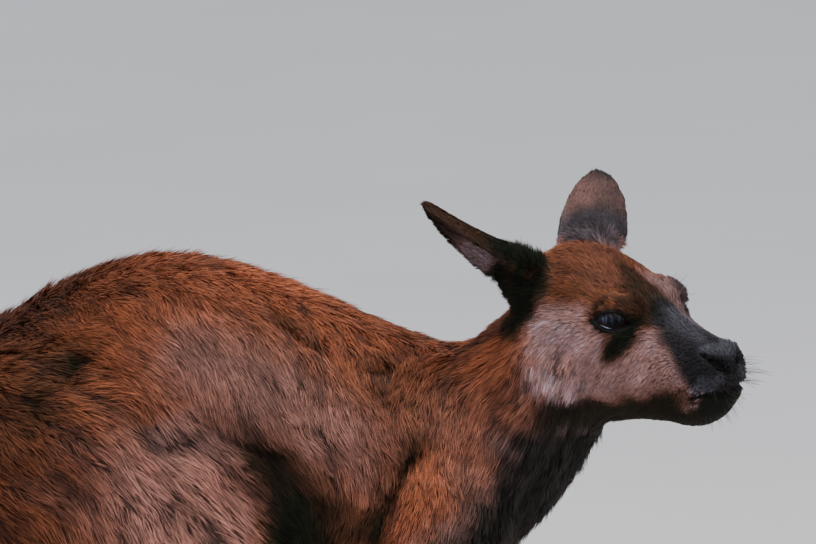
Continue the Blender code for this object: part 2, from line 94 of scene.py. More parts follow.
def spot(node, share):
    low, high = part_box(node)
    return np.array([low[i] + (high[i] - low[i]) * share[i] for i in range(3)])


def valueNoise(points, size, seed):
    # smooth chance values from 0 to 1, in cells of the given size
    cells = np.asarray(points) / size
    low = np.floor(cells).astype(np.int64)
    part = cells - low
    part = part * part * (3 - 2 * part)
    total = np.zeros(len(cells))
    for step in np.ndindex(2, 2, 2):
        keys = (low + step) * (73856093, 19349663, 83492791)
        key = keys[:, 0] ^ keys[:, 1] ^ keys[:, 2]
        key = (key ^ (seed * 2654435761)) & 0xFFFFFFFF
        key = ((key ^ (key >> 15)) * 2246822519) & 0xFFFFFFFF
        key = ((key ^ (key >> 13)) * 3266489917) & 0xFFFFFFFF
        chance = ((key ^ (key >> 16)) & 0xFFFFFF) / float(0xFFFFFF)
        total += chance * np.where(step, part, 1 - part).prod(1)
    return total


def readAll(items, key, width, kind=np.float32):
    values = np.empty(len(items) * width, kind)
    items.foreach_get(key, values)
    return values.reshape(-1, width)


def places(mesh):
    return readAll(mesh.vertices, "co", 3).astype(float)


def vertexNormals(mesh):
    return readAll(mesh.vertices, "normal", 3).astype(float)


def addField(mesh, name, kind, key, values):
    layer = mesh.attributes.new(name, kind, "POINT")
    layer.data.foreach_set(key, np.asarray(values, np.float32).ravel())


def addObject(name, data):
    piece = bpy.data.objects.new(name, data)
    bpy.context.scene.collection.objects.link(piece)
    return piece


def pickOnly(piece):
    bpy.ops.object.select_all(action="DESELECT")
    piece.select_set(True)
    bpy.context.view_layer.objects.active = piece


def smoothShade(piece):
    pickOnly(piece)
    bpy.ops.object.shade_smooth()


def applyModifier(piece, kind, **settings):
    pickOnly(piece)
    modifier = piece.modifiers.new(kind.lower(), kind)
    for key, value in settings.items():
        setattr(modifier, key, value)
    bpy.ops.object.modifier_apply(modifier=modifier.name)


def editMesh(piece, work, items=None, chosen=None):
    # the work is done in edit mode on the chosen vertices or faces, or on all
    pickOnly(piece)
    bpy.ops.object.mode_set(mode="EDIT")
    bpy.ops.mesh.select_mode(type="FACE" if items == "polygons" else "VERT")
    bpy.ops.mesh.select_all(action="DESELECT" if items else "SELECT")
    if items:
        bpy.ops.object.mode_set(mode="OBJECT")
        getattr(piece.data, items).foreach_set("select", chosen)
        bpy.ops.object.mode_set(mode="EDIT")
    work()
    bpy.ops.object.mode_set(mode="OBJECT")


def mendMesh():
    bpy.ops.mesh.remove_doubles(threshold=1e-5)
    bpy.ops.mesh.normals_make_consistent(inside=False)


def copyOfNode(node, name):
    piece = addObject(name, nodes[node].data.copy())
    piece.data.materials.clear()
    editMesh(piece, mendMesh)
    return piece


# the head's own axes: x to the nose, y to its left, z up, from between the eyes
headSet = {"turn": -33.0, "tilt": 4.5, "eyeShift": (-0.004, 0.0, -0.0015)}
headAxes = Matrix.Rotation(math.radians(headSet["turn"]), 3, "Z") @ Matrix.Rotation(
    math.radians(headSet["tilt"]), 3, "X"
)
headMiddle = (boxMiddle("eye_right") + boxMiddle("eye_left")) / 2
headMiddle = np.array(headMiddle - headAxes @ Vector(headSet["eyeShift"]))
headTurn = np.array(headAxes)


def toHead(points):
    return (np.asarray(points) - headMiddle) @ headTurn


def headWay(vectors):
    return np.asarray(vectors) @ headTurn.T


def fromHead(points):
    return headWay(points) + headMiddle


eyeMiddles = {side: toHead(np.array(boxMiddle("eye_" + side))) for side in ("right", "left")}
eyeRadius = float((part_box("eye_right")[1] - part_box("eye_right")[0])[1]) / 2


def eyeGap(points):
    return np.minimum(*[np.linalg.norm(points - middle, axis=1) for middle in eyeMiddles.values()])


# the skin: every flesh part wrapped in one surface, fine at the eyes and nose; metres, head axes
skinSet = {
    "grain": 0.0024,
    "overlap": 0.0005,
    "softening": 7,
    "triangles": 120000,
    "headBack": -0.11,
    "headLow": -0.1,
    "headSide": 0.09,
    "eyeZone": 0.0215,
    "eyeMargin": 0.004,
    "noseZone": 0.048,
    "noseLow": -0.075,
}
fleshNames = sorted(n for n in nodes if not n.startswith(("eye_", "claw_")))


def joinCopies(names, joinedName):
    copies = [copyOfNode(n, joinedName if i == 0 else "part") for i, n in enumerate(names)]
    pickOnly(copies[0])
    for piece in copies[1:]:
        piece.select_set(True)
    bpy.ops.object.join()
    return copies[0]


def dropLoose():
    bpy.ops.mesh.select_linked()
    bpy.ops.mesh.select_all(action="INVERT")
    bpy.ops.mesh.delete(type="VERT")


def refine():
    bpy.ops.mesh.subdivide(number_cuts=1)
    bpy.ops.mesh.select_all(action="SELECT")
    bpy.ops.mesh.quads_convert_to_tris()
    bpy.ops.mesh.normals_make_consistent(inside=False)


skin = joinCopies(fleshNames + ["eye_right", "eye_left"], "skin")
applyModifier(skin, "DISPLACE", strength=skinSet["overlap"], mid_level=0.0)
applyModifier(skin, "REMESH", mode="VOXEL", voxel_size=skinSet["grain"])
co = places(skin.data)
editMesh(skin, dropLoose, "vertices", np.arange(len(co)) == co[:, 0].argmin())
applyModifier(skin, "SMOOTH", factor=0.5, iterations=skinSet["softening"])
print("skin wrapped:", len(skin.data.polygons), "faces")
x, y, z = toHead(places(skin.data)).T
faraway = (x < skinSet["headBack"]) | (z < skinSet["headLow"]) | (np.abs(y) > skinSet["headSide"])
skin.vertex_groups.new(name="body").add(np.where(faraway)[0].tolist(), 1.0, "REPLACE")
share = min(1.0, skinSet["triangles"] / (2.0 * len(skin.data.polygons)))
applyModifier(skin, "DECIMATE", ratio=share, vertex_group="body", use_collapse_triangulate=True)
for margin, nose in ((skinSet["eyeMargin"], True), (0.0, False)):
    middles = toHead(readAll(skin.data.polygons, "center", 3))
    fine = eyeGap(middles) < skinSet["eyeZone"] + margin
    if nose:
        fine = fine | ((middles[:, 0] > skinSet["noseZone"]) & (middles[:, 2] > skinSet["noseLow"]))
    editMesh(skin, refine, "polygons", fine)
print("skin refined:", len(skin.data.polygons), "triangles")

# which part each bit of skin belongs to
partNumber = {n: i for i, n in enumerate(fleshNames)}


def fleshTree():
    points, faces, owners = [], [], []
    for n in fleshNames:
        start = len(points)
        points += [v.co.copy() for v in nodes[n].data.vertices]
        for polygon in nodes[n].data.polygons:
            faces.append([start + i for i in polygon.vertices])
            owners.append(partNumber[n])
    return BVHTree.FromPolygons(points, faces), np.array(owners)


nearestFlesh, faceOwner = fleshTree()
skinCo = places(skin.data)
skinPart = faceOwner[np.array([nearestFlesh.find_nearest(p)[2] for p in skinCo])]
edges = readAll(skin.data.edges, "vertices", 2, np.int32)
edgeCount = np.bincount(edges.ravel(), minlength=len(skinCo)).astype(float)


def spread(values, times):
    # values blended with their neighbours'
    values = np.array(values, float)
    flat = values.reshape(len(values), -1)
    for _ in range(times):
        for c in range(flat.shape[1]):
            column = flat[:, c]
            total = np.bincount(edges[:, 0], weights=column[edges[:, 1]], minlength=len(flat))
            total += np.bincount(edges[:, 1], weights=column[edges[:, 0]], minlength=len(flat))
            flat[:, c] = 0.4 * column + 0.6 * total / edgeCount
    return flat.reshape(values.shape)


def partIs(part, *starts):
    return np.isin(part, [i for n, i in partNumber.items() if n.startswith(starts)]).astype(float)


skinNormal = unit(spread(vertexNormals(skin.data), 3))
inHead = toHead(skinCo)

# the coat's length (mm), how far it stands up (degrees) and its strand width (mm), by part
coatByPart = {
    "head": (6.0, 18, 0.46),
    "lower_jaw": (4.5, 18, 0.44),
    "ear": (4.6, 13, 0.5),
    "neck": (16.0, 19, 0.62),
    "shoulders": (18.0, 18, 0.64),
    "trunk_middle": (20.0, 18, 0.66),
    "rump": (19.0, 19, 0.68),
    "tail_base": (11.0, 20, 1.0),
    "tail_middle": (8.0, 16, 0.95),
    "tail_tip": (8.0, 18, 0.9),
    "thigh": (19.0, 17, 0.66),
    "shank": (9.0, 18, 0.95),
    "foot": (4.5, 14, 0.8),
    "upper_arm": (14.0, 18, 0.65),
    "forearm": (7.0, 18, 0.85),
    "hand": (4.0, 14, 0.7),
}
coatSet = {
    "muzzleShort": 0.52,
    "muzzleFine": 0.25,
    "crownLong": 0.55,
    "cheekLong": 0.9,
    "backFlat": 0.4,
    "backShort": 0.15,
    "sunk": 0.8,
    "earTuft": (-0.078, -0.036, 0.040),
    "tuftReach": (0.026, 0.012),
    "tuftLong": 0.4,
    "tuftLift": 9,
}


def coatOf(name):
    return coatByPart.get(name) or coatByPart[name.rsplit("_", 1)[0]]


coatOfParts = np.array([coatOf(n) for n in fleshNames], float)
strandLength, strandLift, strandWidth = spread(coatOfParts[skinPart], 14).T
headShare = np.clip(spread(partIs(skinPart, "head", "lower_jaw"), 6), 0, 1)
hx, _, hz = (inHead / millimetre).T
muzzle = smoothStep(18, 52, hx) * headShare
crown = smoothStep(-20, -60, hx) * smoothStep(-20, 5, hz) * headShare
cheekBack = smoothStep(-5, -50, hx) * smoothStep(-5, -35, hz) * headShare
onBack = smoothStep(0.45, 0.95, skinNormal[:, 2]) * (1 - headShare)
trunkLike = spread(partIs(skinPart, "trunk_middle", "shoulders", "rump", "neck"), 8)
fringe = onBack * spread(partIs(skinPart, "trunk_middle", "rump"), 8)
strandWidth = strandWidth * (1 - coatSet["muzzleFine"] * muzzle)
strandLift = strandLift * (1 - coatSet["backFlat"] * onBack * trunkLike)
for change, where in (
    (-coatSet["muzzleShort"], muzzle),
    (coatSet["crownLong"], crown),
    (coatSet["cheekLong"], cheekBack),
    (-coatSet["backShort"], fringe),
):
    strandLength = strandLength * (1 + change * where)
coatDepth = spread(strandLength * np.sin(np.radians(strandLift)) * coatSet["sunk"] * millimetre, 6)
coatDepth = coatDepth * smoothStep(eyeRadius + 0.001, eyeRadius + 0.010, eyeGap(inHead))
skinCo = skinCo - skinNormal * coatDepth[:, None]
earTuft = smoothStep(*coatSet["tuftReach"], np.linalg.norm(inHead - np.array(coatSet["earTuft"]), axis=1))
strandLength = strandLength * (1 + coatSet["tuftLong"] * earTuft)
strandLift = strandLift + coatSet["tuftLift"] * earTuft

# lids: an almond opening in front of each eyeball; metres, zones in eye radii;
# fold, puff and trough: distance from the edge or height, width and depth
lidSet = {
    "gaze": (0.62, -0.775, 0.12),
    "across": (0.73, 0.68, -0.054),
    "halfWidth": 0.0138,
    "upper": 0.0058,
    "lower": 0.0056,
    "rim": 0.0010,
    "hollow": 0.0022,
    "zone": (1.75, 1.2),
    "fold": (0.0052, 0.0011, 0.0010),
    "puff": (0.0042, 0.0022, 0.0007),
    "trough": (-0.0008, 0.0012, 0.0016),
    "darkZone": 1.9,
    "darkAbove": 0.0056,
    "darkBelow": 0.0082,
    "darkFront": 0.0026,
    "darkRagged": 0.0016,
    "bareZone": 1.5,
    "bareEdge": (0.0034, 0.0016),
    "coatZone": 1.6,
    "coatEdge": (0.0016, 0.0042),
}


def eyeFrame(side):
    flip = mirrors[side == "left"]
    gaze = unit(np.array(lidSet["gaze"]) * flip)
    across = np.array(lidSet["across"]) * flip
    across = unit(across - gaze * (across @ gaze))
    up = np.cross(gaze, across)
    up = up if up[2] > 0 else -up
    return gaze, across, up


def lidRadius(rise, half):
    return (half**2 + rise**2) / (2 * rise)


def lidHeight(along, rise, half):
    # the lid's edge is an arc over the opening's width
    radius = lidRadius(rise, half)
    return (rise - radius) + math.sqrt(max(radius**2 - along**2, 0))


def onEyeball(side, along, height, margin):
    gaze, across, up = eyeFrame(side)
    front = math.sqrt(max((eyeRadius + margin) ** 2 - along**2 - height**2, 1e-8))
    return eyeMiddles[side] + across * along + up * height + gaze * front


def fromEye(points, side):
    # across, above and ahead of the eye's middle, the distance from it, and from the opening's edge
    gaze, across, up = eyeFrame(side)
    out = points - eyeMiddles[side]
    along, height = out @ across, out @ up
    gaps = []
    for rise, sign in ((lidSet["upper"], 1), (lidSet["lower"], -1)):
        radius = lidRadius(rise, lidSet["halfWidth"])
        gaps.append(np.hypot(along, height - sign * (rise - radius)) - radius)
    return along, height, out @ gaze, np.linalg.norm(out, axis=1), np.maximum(*gaps)


def lidShape(points, side):
    along, height, facing, radius, edge = fromEye(points, side)
    far, near = eyeRadius * lidSet["zone"][0], eyeRadius * lidSet["zone"][1]
    close = (radius < far) & (facing > 0)
    reach = smoothStep(far, near, radius) * smoothStep(0.0, 0.004, facing)
    opened = smoothStep(0.0012, -0.0008, edge)
    lid = np.maximum(radius, eyeRadius + lidSet["rim"] * (1 + 0.5 * hump(edge, 0.002, 0.0018)))
    foldMiddle, foldWide, foldDeep = lidSet["fold"]
    puffMiddle, puffWide, puffHigh = lidSet["puff"]
    lid = lid - foldDeep * hump(edge, foldMiddle, foldWide) * smoothStep(-0.001, 0.003, height) * reach
    lid = lid + puffHigh * hump(edge, puffMiddle, puffWide) * smoothStep(0.0, -0.004, height) * reach
    target = lid * (1 - opened) + (eyeRadius - lidSet["hollow"]) * opened
    newRadius = np.where(close, radius + (target - radius) * np.maximum(reach, opened * close), radius)
    troughMiddle, troughWide, troughDeep = lidSet["trough"]
    trough = hump(height, troughMiddle, troughWide) * smoothStep(0.012, 0.015, along)
    trough = trough * smoothStep(0.0215, 0.0165, along) * (facing > -0.002)
    newRadius = newRadius - troughDeep * trough * (radius < far)
    return eyeMiddles[side] + unit(points - eyeMiddles[side]) * newRadius[:, None]


inHead = toHead(skinCo)
for side in eyeMiddles:
    inHead = lidShape(inHead, side)

# nostrils, mouth line and the cleft under the nose: path, half widths and depth in mm, head axes
faceGrooves = {
    "nostril": (
        [(70, -20, -17), (75, -20, -19), (80, -18, -22), (84, -13, -26), (88, -8, -29), (89, -5, -33)],
        (1.3, 2.0, 3.2, 4.4, 4.8, 3.2),
        5.5,
    ),
    "mouth": (
        [(90, 0, -47), (86, -8, -47), (81, -16, -47.5), (74, -23, -49), (68, -25, -51.5), (62, -25, -53)],
        (3.0, 3.0, 2.8, 2.4, 2.0, 1.0),
        3.2,
    ),
    "cleft": ([(90, 0, -33), (90, 0, -40), (90, 0, -47)], (1.3, 1.2, 1.6), 1.0),
}
pathSteps = 8


def denser(path, wide):
    # a path and its half widths, with steps between the points
    ends = np.arange(len(path))
    steps = np.linspace(0, len(path) - 1, (len(path) - 1) * pathSteps + 1)
    points = np.stack([np.interp(steps, ends, row) for row in np.array(path, float).T], 1)
    return points, np.interp(steps, ends, wide)


def snapped(points, cloud):
    return np.array([cloud[((cloud - p) ** 2).sum(1).argmin()] for p in points])


def nearness(cloud, path, wide):
    # 1 on the path, falling to 0 at its half width
    gap = np.full(len(cloud), 9.0)
    for place, reach in zip(snapped(path, cloud), wide):
        gap = np.minimum(gap, ((cloud - place) ** 2).sum(1) / reach**2)
    return np.clip(1 - gap, 0, 1)


frontOfHead = np.where((inHead[:, 0] > 0.045) & (np.abs(inHead[:, 1]) < 0.05) & (inHead[:, 2] > -0.09))[0]
cloud = inHead[frontOfHead]
grooveMask = {}
for name, (path, wide, deep) in faceGrooves.items():
    mask = np.zeros(len(inHead))
    for flip in mirrors:
        points, reach = denser(np.array(path) * flip * millimetre, np.array(wide) * millimetre)
        mask[frontOfHead] = np.maximum(mask[frontOfHead], nearness(cloud, points, reach))
    inHead = inHead - (skinNormal @ headTurn) * (np.sqrt(mask) * deep * millimetre)[:, None]
    grooveMask[name] = mask
skinCo = fromHead(inHead)

# folds of the body, as shares of a part's box: half widths and depth in mm, how dark, grey and short; the
# dark is painted shade in the creases and the hollow, and a darker band on the nape
plainFold = {"deep": 0.0, "dark": 1.0, "short": 0.0, "broken": False, "grey": 0.0}
bodyFolds = {
    "shoulder": {
        "node": "shoulders", "wide": (6, 7, 7, 6), "deep": 6.0, "short": 0.65,
        "path": [(0.43, 0.3, 0.88), (0.43, 0.21, 0.84), (0.44, 0.14, 0.79), (0.45, 0.1, 0.74)],
    },
    "armpit": {
        "node": "shoulders", "wide": (5, 6, 7, 7, 9), "deep": 6.0, "short": 0.6,
        "path": [(0.63, 0.12, 0.7), (0.57, 0.07, 0.64), (0.51, 0.05, 0.58), (0.46, 0.03, 0.52),
                 (0.42, 0.03, 0.4)],
    },
    # the flank hollow between the ribs and the knee: painted deep shadow
    "hollow": {
        "node": "trunk_middle", "wide": (6, 12, 30, 38, 40), "deep": 9.0, "short": 0.2,
        "path": [(0.7, 0.02, 0.65), (0.79, 0.04, 0.6), (0.87, 0.05, 0.52), (0.9, 0.05, 0.44),
                 (0.91, 0.05, 0.35)],
    },
    "haunch": {
        "node": "thigh_right", "wide": (12, 15, 14, 14, 18), "deep": 4.0, "short": 0.3, "broken": True,
        "path": [(0.51, 0.7, 0.96), (0.44, 0.47, 0.9), (0.43, 0.29, 0.81), (0.44, 0.22, 0.75),
                 (0.37, 0.2, 0.7)],
    },
    "thighTop": {
        "node": "trunk_middle", "wide": (16, 22, 24, 24, 20), "deep": 4.0, "dark": 0.78, "short": 0.1,
        "broken": True, "grey": 0.7,
        "path": [(0.5, -0.06, 0.64), (0.62, 0.0, 0.64), (0.74, 0.02, 0.61), (0.83, 0.04, 0.54),
                 (0.89, 0.04, 0.48)],
    },
    "backCrease": {
        "node": "trunk_middle", "wide": (6, 6), "deep": 3.0, "short": 0.5,
        "path": [(0.77, 0.27, 0.9), (0.87, 0.25, 0.86)],
    },
    "nape": {
        "node": "shoulders", "wide": (9, 11, 12, 12, 12), "dark": 0.15, "broken": True,
        "path": [(0.26, 0.41, 0.94), (0.4, 0.38, 0.91), (0.56, 0.43, 0.89), (0.66, 0.43, 0.88),
                 (0.83, 0.4, 0.9)],
    },
}
foldDark, foldDepth, foldShort, foldGrey, foldCore = np.zeros((5, len(skinCo)))
frayed = valueNoise(skinCo, 0.005, 52)
patchy = 1 - 0.7 * smoothStep(0.6, 0.35, valueNoise(skinCo, 0.014, 51))
for fold in bodyFolds.values():
    fold = {**plainFold, **fold}
    for flip in mirrors:
        path = np.array([spot(fold["node"], share) for share in fold["path"]]) * flip
        points, wide = denser(path, np.array(fold["wide"]) * millimetre)
        amount = nearness(skinCo, points, wide * 1.1)
        amount = np.clip(amount - 0.35 * frayed * (1 - amount), 0, 1)
        cover = smoothStep(0.0, 0.75, amount) * fold["dark"]
        foldDark = most(foldDark, cover * (patchy if fold["broken"] else 1.0))
        foldDepth = most(foldDepth, amount**2 * fold["deep"] * millimetre)
        foldShort = most(foldShort, amount * fold["short"])
        foldGrey = most(foldGrey, smoothStep(0.0, 0.5, amount) * fold["grey"])
        foldCore = most(foldCore, smoothStep(0.0, 0.4, amount) * (fold["deep"] > 8))
skinCo = skinCo - skinNormal * foldDepth[:, None]
strandLength = strandLength * (1 - foldShort)
skinCo[:, 2] = np.maximum(skinCo[:, 2], 0.0002)
skin.data.vertices.foreach_set("co", skinCo.astype(np.float32).ravel())
skin.data.update()
skin.vertex_groups.clear()
smoothShade(skin)
smoothNormal = unit(spread(vertexNormals(skin.data), 4))
inHead = toHead(skinCo)
print("face shaped")

# the skin's unwrap, on its own shape
skin.data.uv_layers.new(name="OFBake")
editMesh(skin, lambda: bpy.ops.uv.smart_project(angle_limit=math.radians(60), island_margin=0.001))
print("skin unwrapped")

# markings: how dark, orange, grey and pale each place is; edges in mm, the throat's in metres
markSet = {
    "wobble": 7.0,
    "bodyWobble": 0.008,
    "wobbleSize": 0.007,
    "wedgeEdge": 19.0,
    "muzzleEdge": 21.5,
    "throatHeight": 0.436,
    "throatStart": 0.527,
    "wedge": 0.86,
    "jaw": 0.96,
    "throat": 0.98,
    "orangeBrow": 0.9,
    # the far brow's painted sheen: how much darkness it takes away, how dark and how grey it is
    "farBrowCut": 0.45,
    "farBrowDark": 0.54,
    "farBrowGrey": 0.95,
    "earRootDark": 0.93,
    "earRootGrey": 0.95,
    "neckPlace": (0.468, 0.066, 0.447),
}
darkAmounts = {
    "crown": 0.48, "brow": 0.48, "lidBand": 0.84, "cheekFront": 0.3, "cheekDark": 0.75, "rumpBack": 0.5,
    "low": 0.26, "thigh": 0.12, "lowNeck": 0.34, "neckMiddle": 0.42, "neckBack": 0.35, "neckPatches": 0.3,
    "crownStreak": 0.45,
}
greyAmounts = {"cheek": 0.85, "ribs": 0.62, "low": 0.5, "thigh": 0.5}
paleAmounts = {
    "lipPale": 0.4, "upperLip": 0.6, "cheekTop": 0.42, "rootOfEar": 0.2, "throat": 0.07, "throatEdge": 0.34,
    "mouthCorner": 0.5, "farBrowSheen": 0.07, "noseTop": 0.55, "bridge": 0.5, "belly": 0.5,
}
# the ribs' patches: grey fur with a painted lavender sheen, and darkness at the first two
ribPatches = [((0.62, 0.0, 0.84), 0.055, 0.62), ((0.8, 0.0, 0.76), 0.06, 0.6), ((0.98, 0.0, 0.62), 0.06, 0.3)]
# spots of the face: paths and half widths in mm, head axes
faceSpots = {
    "underEye": (
        [(17, -29, -2), (14, -33, -7), (11, -37, -13), (6, -40, -20), (0, -43, -28)],
        (12, 14, 14, 11, 7),
    ),
    "lidRim": ([(13, -32, 2), (18, -27, 0), (24, -22, -1)], (9, 11, 8)),
    "wedge": (
        [(-15, 3, 28), (-4, -5, 22), (3, -9, 18), (10, -12, 13), (16, -18, 7), (22, -23, 1)],
        (9, 15, 20, 18, 14, 10),
    ),
    "lidBand": (
        [(-16, -41, 6), (-6, -36, 10), (4, -30, 12), (12, -25, 12), (19, -22, 6)],
        (5, 8, 10, 12, 10),
    ),
    "cheekTop": ([(-26, -47, -14), (-40, -53, -14), (-52, -55, -8)], (16, 22, 18)),
    "cheekFront": ([(36, -27, -44), (24, -32, -52), (0, -40, -56)], (13, 14, 12)),
    "upperLip": ([(82, -13, -39), (74, -20, -41), (66, -23, -44)], (8, 8, 6)),
    "earRoot": ([(-94, 30, 38), (-82, 36, 40), (-75, 48, 38), (-84, 50, 48)], (19, 21, 21, 21)),
    "crownStreak": ([(-50, -24, 36), (-58, -34, 26), (-62, -40, 16)], (12, 14, 14)),
    "earFoot": (
        [(-92, -55, 55), (-70, -66, 50), (-66, -52, 42), (-76, -40, 40), (-70, -46, 16), (-76, -56, -4),
         (-82, -60, -12)],
        (20, 20, 22, 26, 26, 22, 14),
    ),
    "earUnder": (
        [(-98, -52, 34), (-93, -52, 25), (-86, -56, 14), (-86, -56, 0), (-90, -55, -12)],
        (14, 17, 19, 18, 13),
    ),
    "cheekPale": ([(-55, -60, -30), (-50, -60, -44), (-40, -54, -54), (-28, -47, -58)], (15, 20, 17, 13)),
    # painted shade under the cheek, where the jaw curves under
    "cheekDark": ([(-50, -62, -66), (-38, -54, -67), (-20, -46, -67), (0, -38, -63)], (9, 12, 13, 12)),
    "mouthCorner": ([(68, -24, -47), (66, -24, -55), (62, -22, -62)], (5, 6, 5)),
    "brow": ([(-2, -28, 17), (-16, -34, 18), (-32, -36, 17), (-48, -40, 12)], (10, 13, 13, 10)),
    "eyeRing": ([(-22, -42, -3), (-12, -43, -12), (0, -43, -16), (-16, -42, 8)], (7, 7, 7, 7)),
}
evenSpots = {  # with even edges
    "lipPale": ([(88, 2, -38), (87, 2, -45)], (4, 4)),
    # noseTop and bridge: painted sheen on the top of the dark muzzle
    "noseTop": ([(80, -8, -13), (72, -12, -13), (84, 0, -16)], (11, 11, 11)),
    # a painted sheen on the far side of the forehead
    "farSheenBand": ([(20, 12, 8), (33, 9, 1), (49, 7, -5)], (7, 6, 5)),
    "bridge": ([(30, -3, 5), (38, -4, 1), (50, -6, -4), (62, -8, -8)], (8, 12, 11, 9)),
}


def bothSides(points, path, wide):
    best = np.zeros(len(points))
    for flip in mirrors:
        for place, size in zip(*denser(np.array(path) * flip, wide)):
            gap = np.linalg.norm(points - place, axis=1)
            best = most(best, smoothStep(size, size * 0.35, gap))
    return best


def strongest(layers, amounts, *others):
    return most(*others, *[amount * layers[name] for name, amount in amounts.items()])


def ribMarks(points):
    ribs, ribsDark = np.zeros((2, len(points)))
    for share, reach, deep in ribPatches:
        for flip in mirrors:
            gap = np.linalg.norm(points - spot("trunk_middle", share) * flip, axis=1)
            cover = smoothStep(reach, reach * 0.3, gap)
            ribs = most(ribs, cover)
            ribsDark = most(ribsDark, deep * cover)
    return ribs, ribsDark


def markings(points, normals, part):
    # x, y and z are in mm on the head's axes, bodyX and bodyZ in metres, all with a wobble
    head = toHead(points) / millimetre
    wobble = np.stack([valueNoise(points, markSet["wobbleSize"], 5 + i) - 0.5 for i in range(3)], 1)
    ragged = head + markSet["wobble"] * wobble
    x, y, z = ragged.T
    bodyX, _, bodyZ = (points + markSet["bodyWobble"] * wobble).T
    on = {name: bothSides(ragged, *shape) for name, shape in faceSpots.items()}
    on.update({name: bothSides(head, *shape) for name, shape in evenSpots.items()})
    headAndNeck = partIs(part, "head", "lower_jaw", "neck")
    near = smoothStep(-112, -95, x) * (z > -105) * (np.abs(y) < 85) * headAndNeck
    hairy = 14 * (valueNoise(points, 0.0026, 33) - 0.5)
    # the slate muzzle, the wedge up the forehead, the black mouth, and the jaw's underside: dark fur with
    # painted shade
    wider = markSet["muzzleEdge"] - markSet["wedgeEdge"]
    edge = markSet["wedgeEdge"] + wider * smoothStep(12, 24, np.abs(y))
    slate = smoothStep(edge - 7, edge + 5, x + 0.96 * z) * smoothStep(-22, -8, x)
    slate = slate * (1 - smoothStep(3, 9, z) * smoothStep(11, 17, np.abs(y)) * smoothStep(26, 20, x))
    # the dark wedge, left off on the far side, where a painted sheen takes its place
    wedge = on["wedge"] * smoothStep(14, 6, y)
    black = smoothStep(56, 66, x) * smoothStep(-44, -49, z)
    jaw = smoothStep(-54, -64, z - 0.29 * x) * smoothStep(75, 45, x)
    jaw = most(jaw, smoothStep(-56, -64, z) * smoothStep(90, 75, x)) * near
    jaw = jaw * smoothStep(-68, -48, x + 0.5 * hairy)
    # the throat, dark olive: painted shade under the head
    start = markSet["throatStart"] - 0.73 * np.maximum(0, 0.4 - bodyZ)
    start = start + 0.03 * (valueNoise(points, 0.011, 35) - 0.5) + 0.0016 * hairy
    throat = smoothStep(markSet["throatHeight"], markSet["throatHeight"] - 0.02, bodyZ)
    throat = throat * smoothStep(-0.022, 0.016, bodyX - start) * smoothStep(0.21, 0.35, bodyZ)
    on["throat"] = throat
    on["throatEdge"] = 4 * throat * (1 - throat) * smoothStep(0.3, 0.6, throat)
    on["throatEdge"] *= smoothStep(0.45, 0.7, valueNoise(points, 0.006, 36))
    # the grey cheek; the ribs, grey fur with a painted lavender sheen; a painted highlight in pinkish grey
    # along the top of the thigh; and the duller parts below
    on["cheek"] = cheek = smoothStep(14, 4, z) * smoothStep(-78, -38, x + hairy) * near
    on["ribs"], ribsDark = ribMarks(points)
    on["low"] = smoothStep(0.34, 0.26, bodyZ) * (1 - near)
    on["thigh"] = partIs(part, "thigh") * smoothStep(0.43, 0.40, bodyZ) * smoothStep(0.30, 0.35, bodyZ)
    on["thigh"] *= smoothStep(0.215, 0.275, bodyX)
    grey = strongest(on, greyAmounts)
    dark = most(slate, markSet["wedge"] * wedge, black, markSet["jaw"] * jaw, markSet["throat"] * throat)
    grey = (grey * (1 - slate) + slate * (1 - black)) * (1 - wedge)
    grey = most(grey * (1 - most(throat, jaw, black)), 0.3 * throat)
    # the far brow: dark fur painted pale lavender grey, a painted sheen of grazing light
    farBrowSheen = smoothStep(6, 13, y) * smoothStep(-20, 0, x) * smoothStep(36, 22, x)
    farBrowSheen = farBrowSheen * smoothStep(-10, 6, z) * near
    on["farBrowSheen"] = farBrowSheen = most(farBrowSheen, 0.6 * on["farSheenBand"] * (y > 0))
    dark = most(dark * (1 - markSet["farBrowCut"] * farBrowSheen), markSet["farBrowDark"] * farBrowSheen)
    on["earFoot"] *= 1 - 0.5 * (y > 0)
    for name in ("underEye", "lidRim", "earFoot", "earUnder"):
        dark = most(dark, on[name])
        grey = grey * (1 - on[name])
    orange = markSet["orangeBrow"] * on["brow"] * (1 - slate)
    # the other dark places
    on["crown"] = smoothStep(0, -25, x) * smoothStep(8, 22, z) * near
    on["rumpBack"] = smoothStep(0.33, 0.18, bodyX) * (bodyZ > 0.2)
    neck = partIs(part, "neck", "shoulders")
    on["lowNeck"] = neck * smoothStep(0.46, 0.42, bodyZ) * smoothStep(0.43, 0.48, bodyX) * (1 - throat)
    neckGap = np.linalg.norm(np.abs(points) - np.array(markSet["neckPlace"]), axis=1)
    on["neckMiddle"] = smoothStep(0.06, 0.02, neckGap)
    on["neckBack"] = partIs(part, "neck") * smoothStep(0.5, 0.53, bodyX) * (1 - near)
    on["neckPatches"] = neck * smoothStep(0.2, 0.6, valueNoise(points, 0.02, 34))
    grey = most(grey * (1 - on["lidBand"]), 0.16 * on["lowNeck"])
    on["low"] *= 0.6 + 0.8 * valueNoise(points, 0.018, 37)
    dark = strongest(on, darkAmounts, dark, ribsDark)
    on["rootOfEar"] = rootOfEar = on["earRoot"] * (y > 0)
    dark = most(dark * (1 - rootOfEar), markSet["earRootDark"] * rootOfEar)
    grey = most(grey * (1 - rootOfEar), markSet["earRootGrey"] * rootOfEar, markSet["farBrowGrey"] * farBrowSheen)
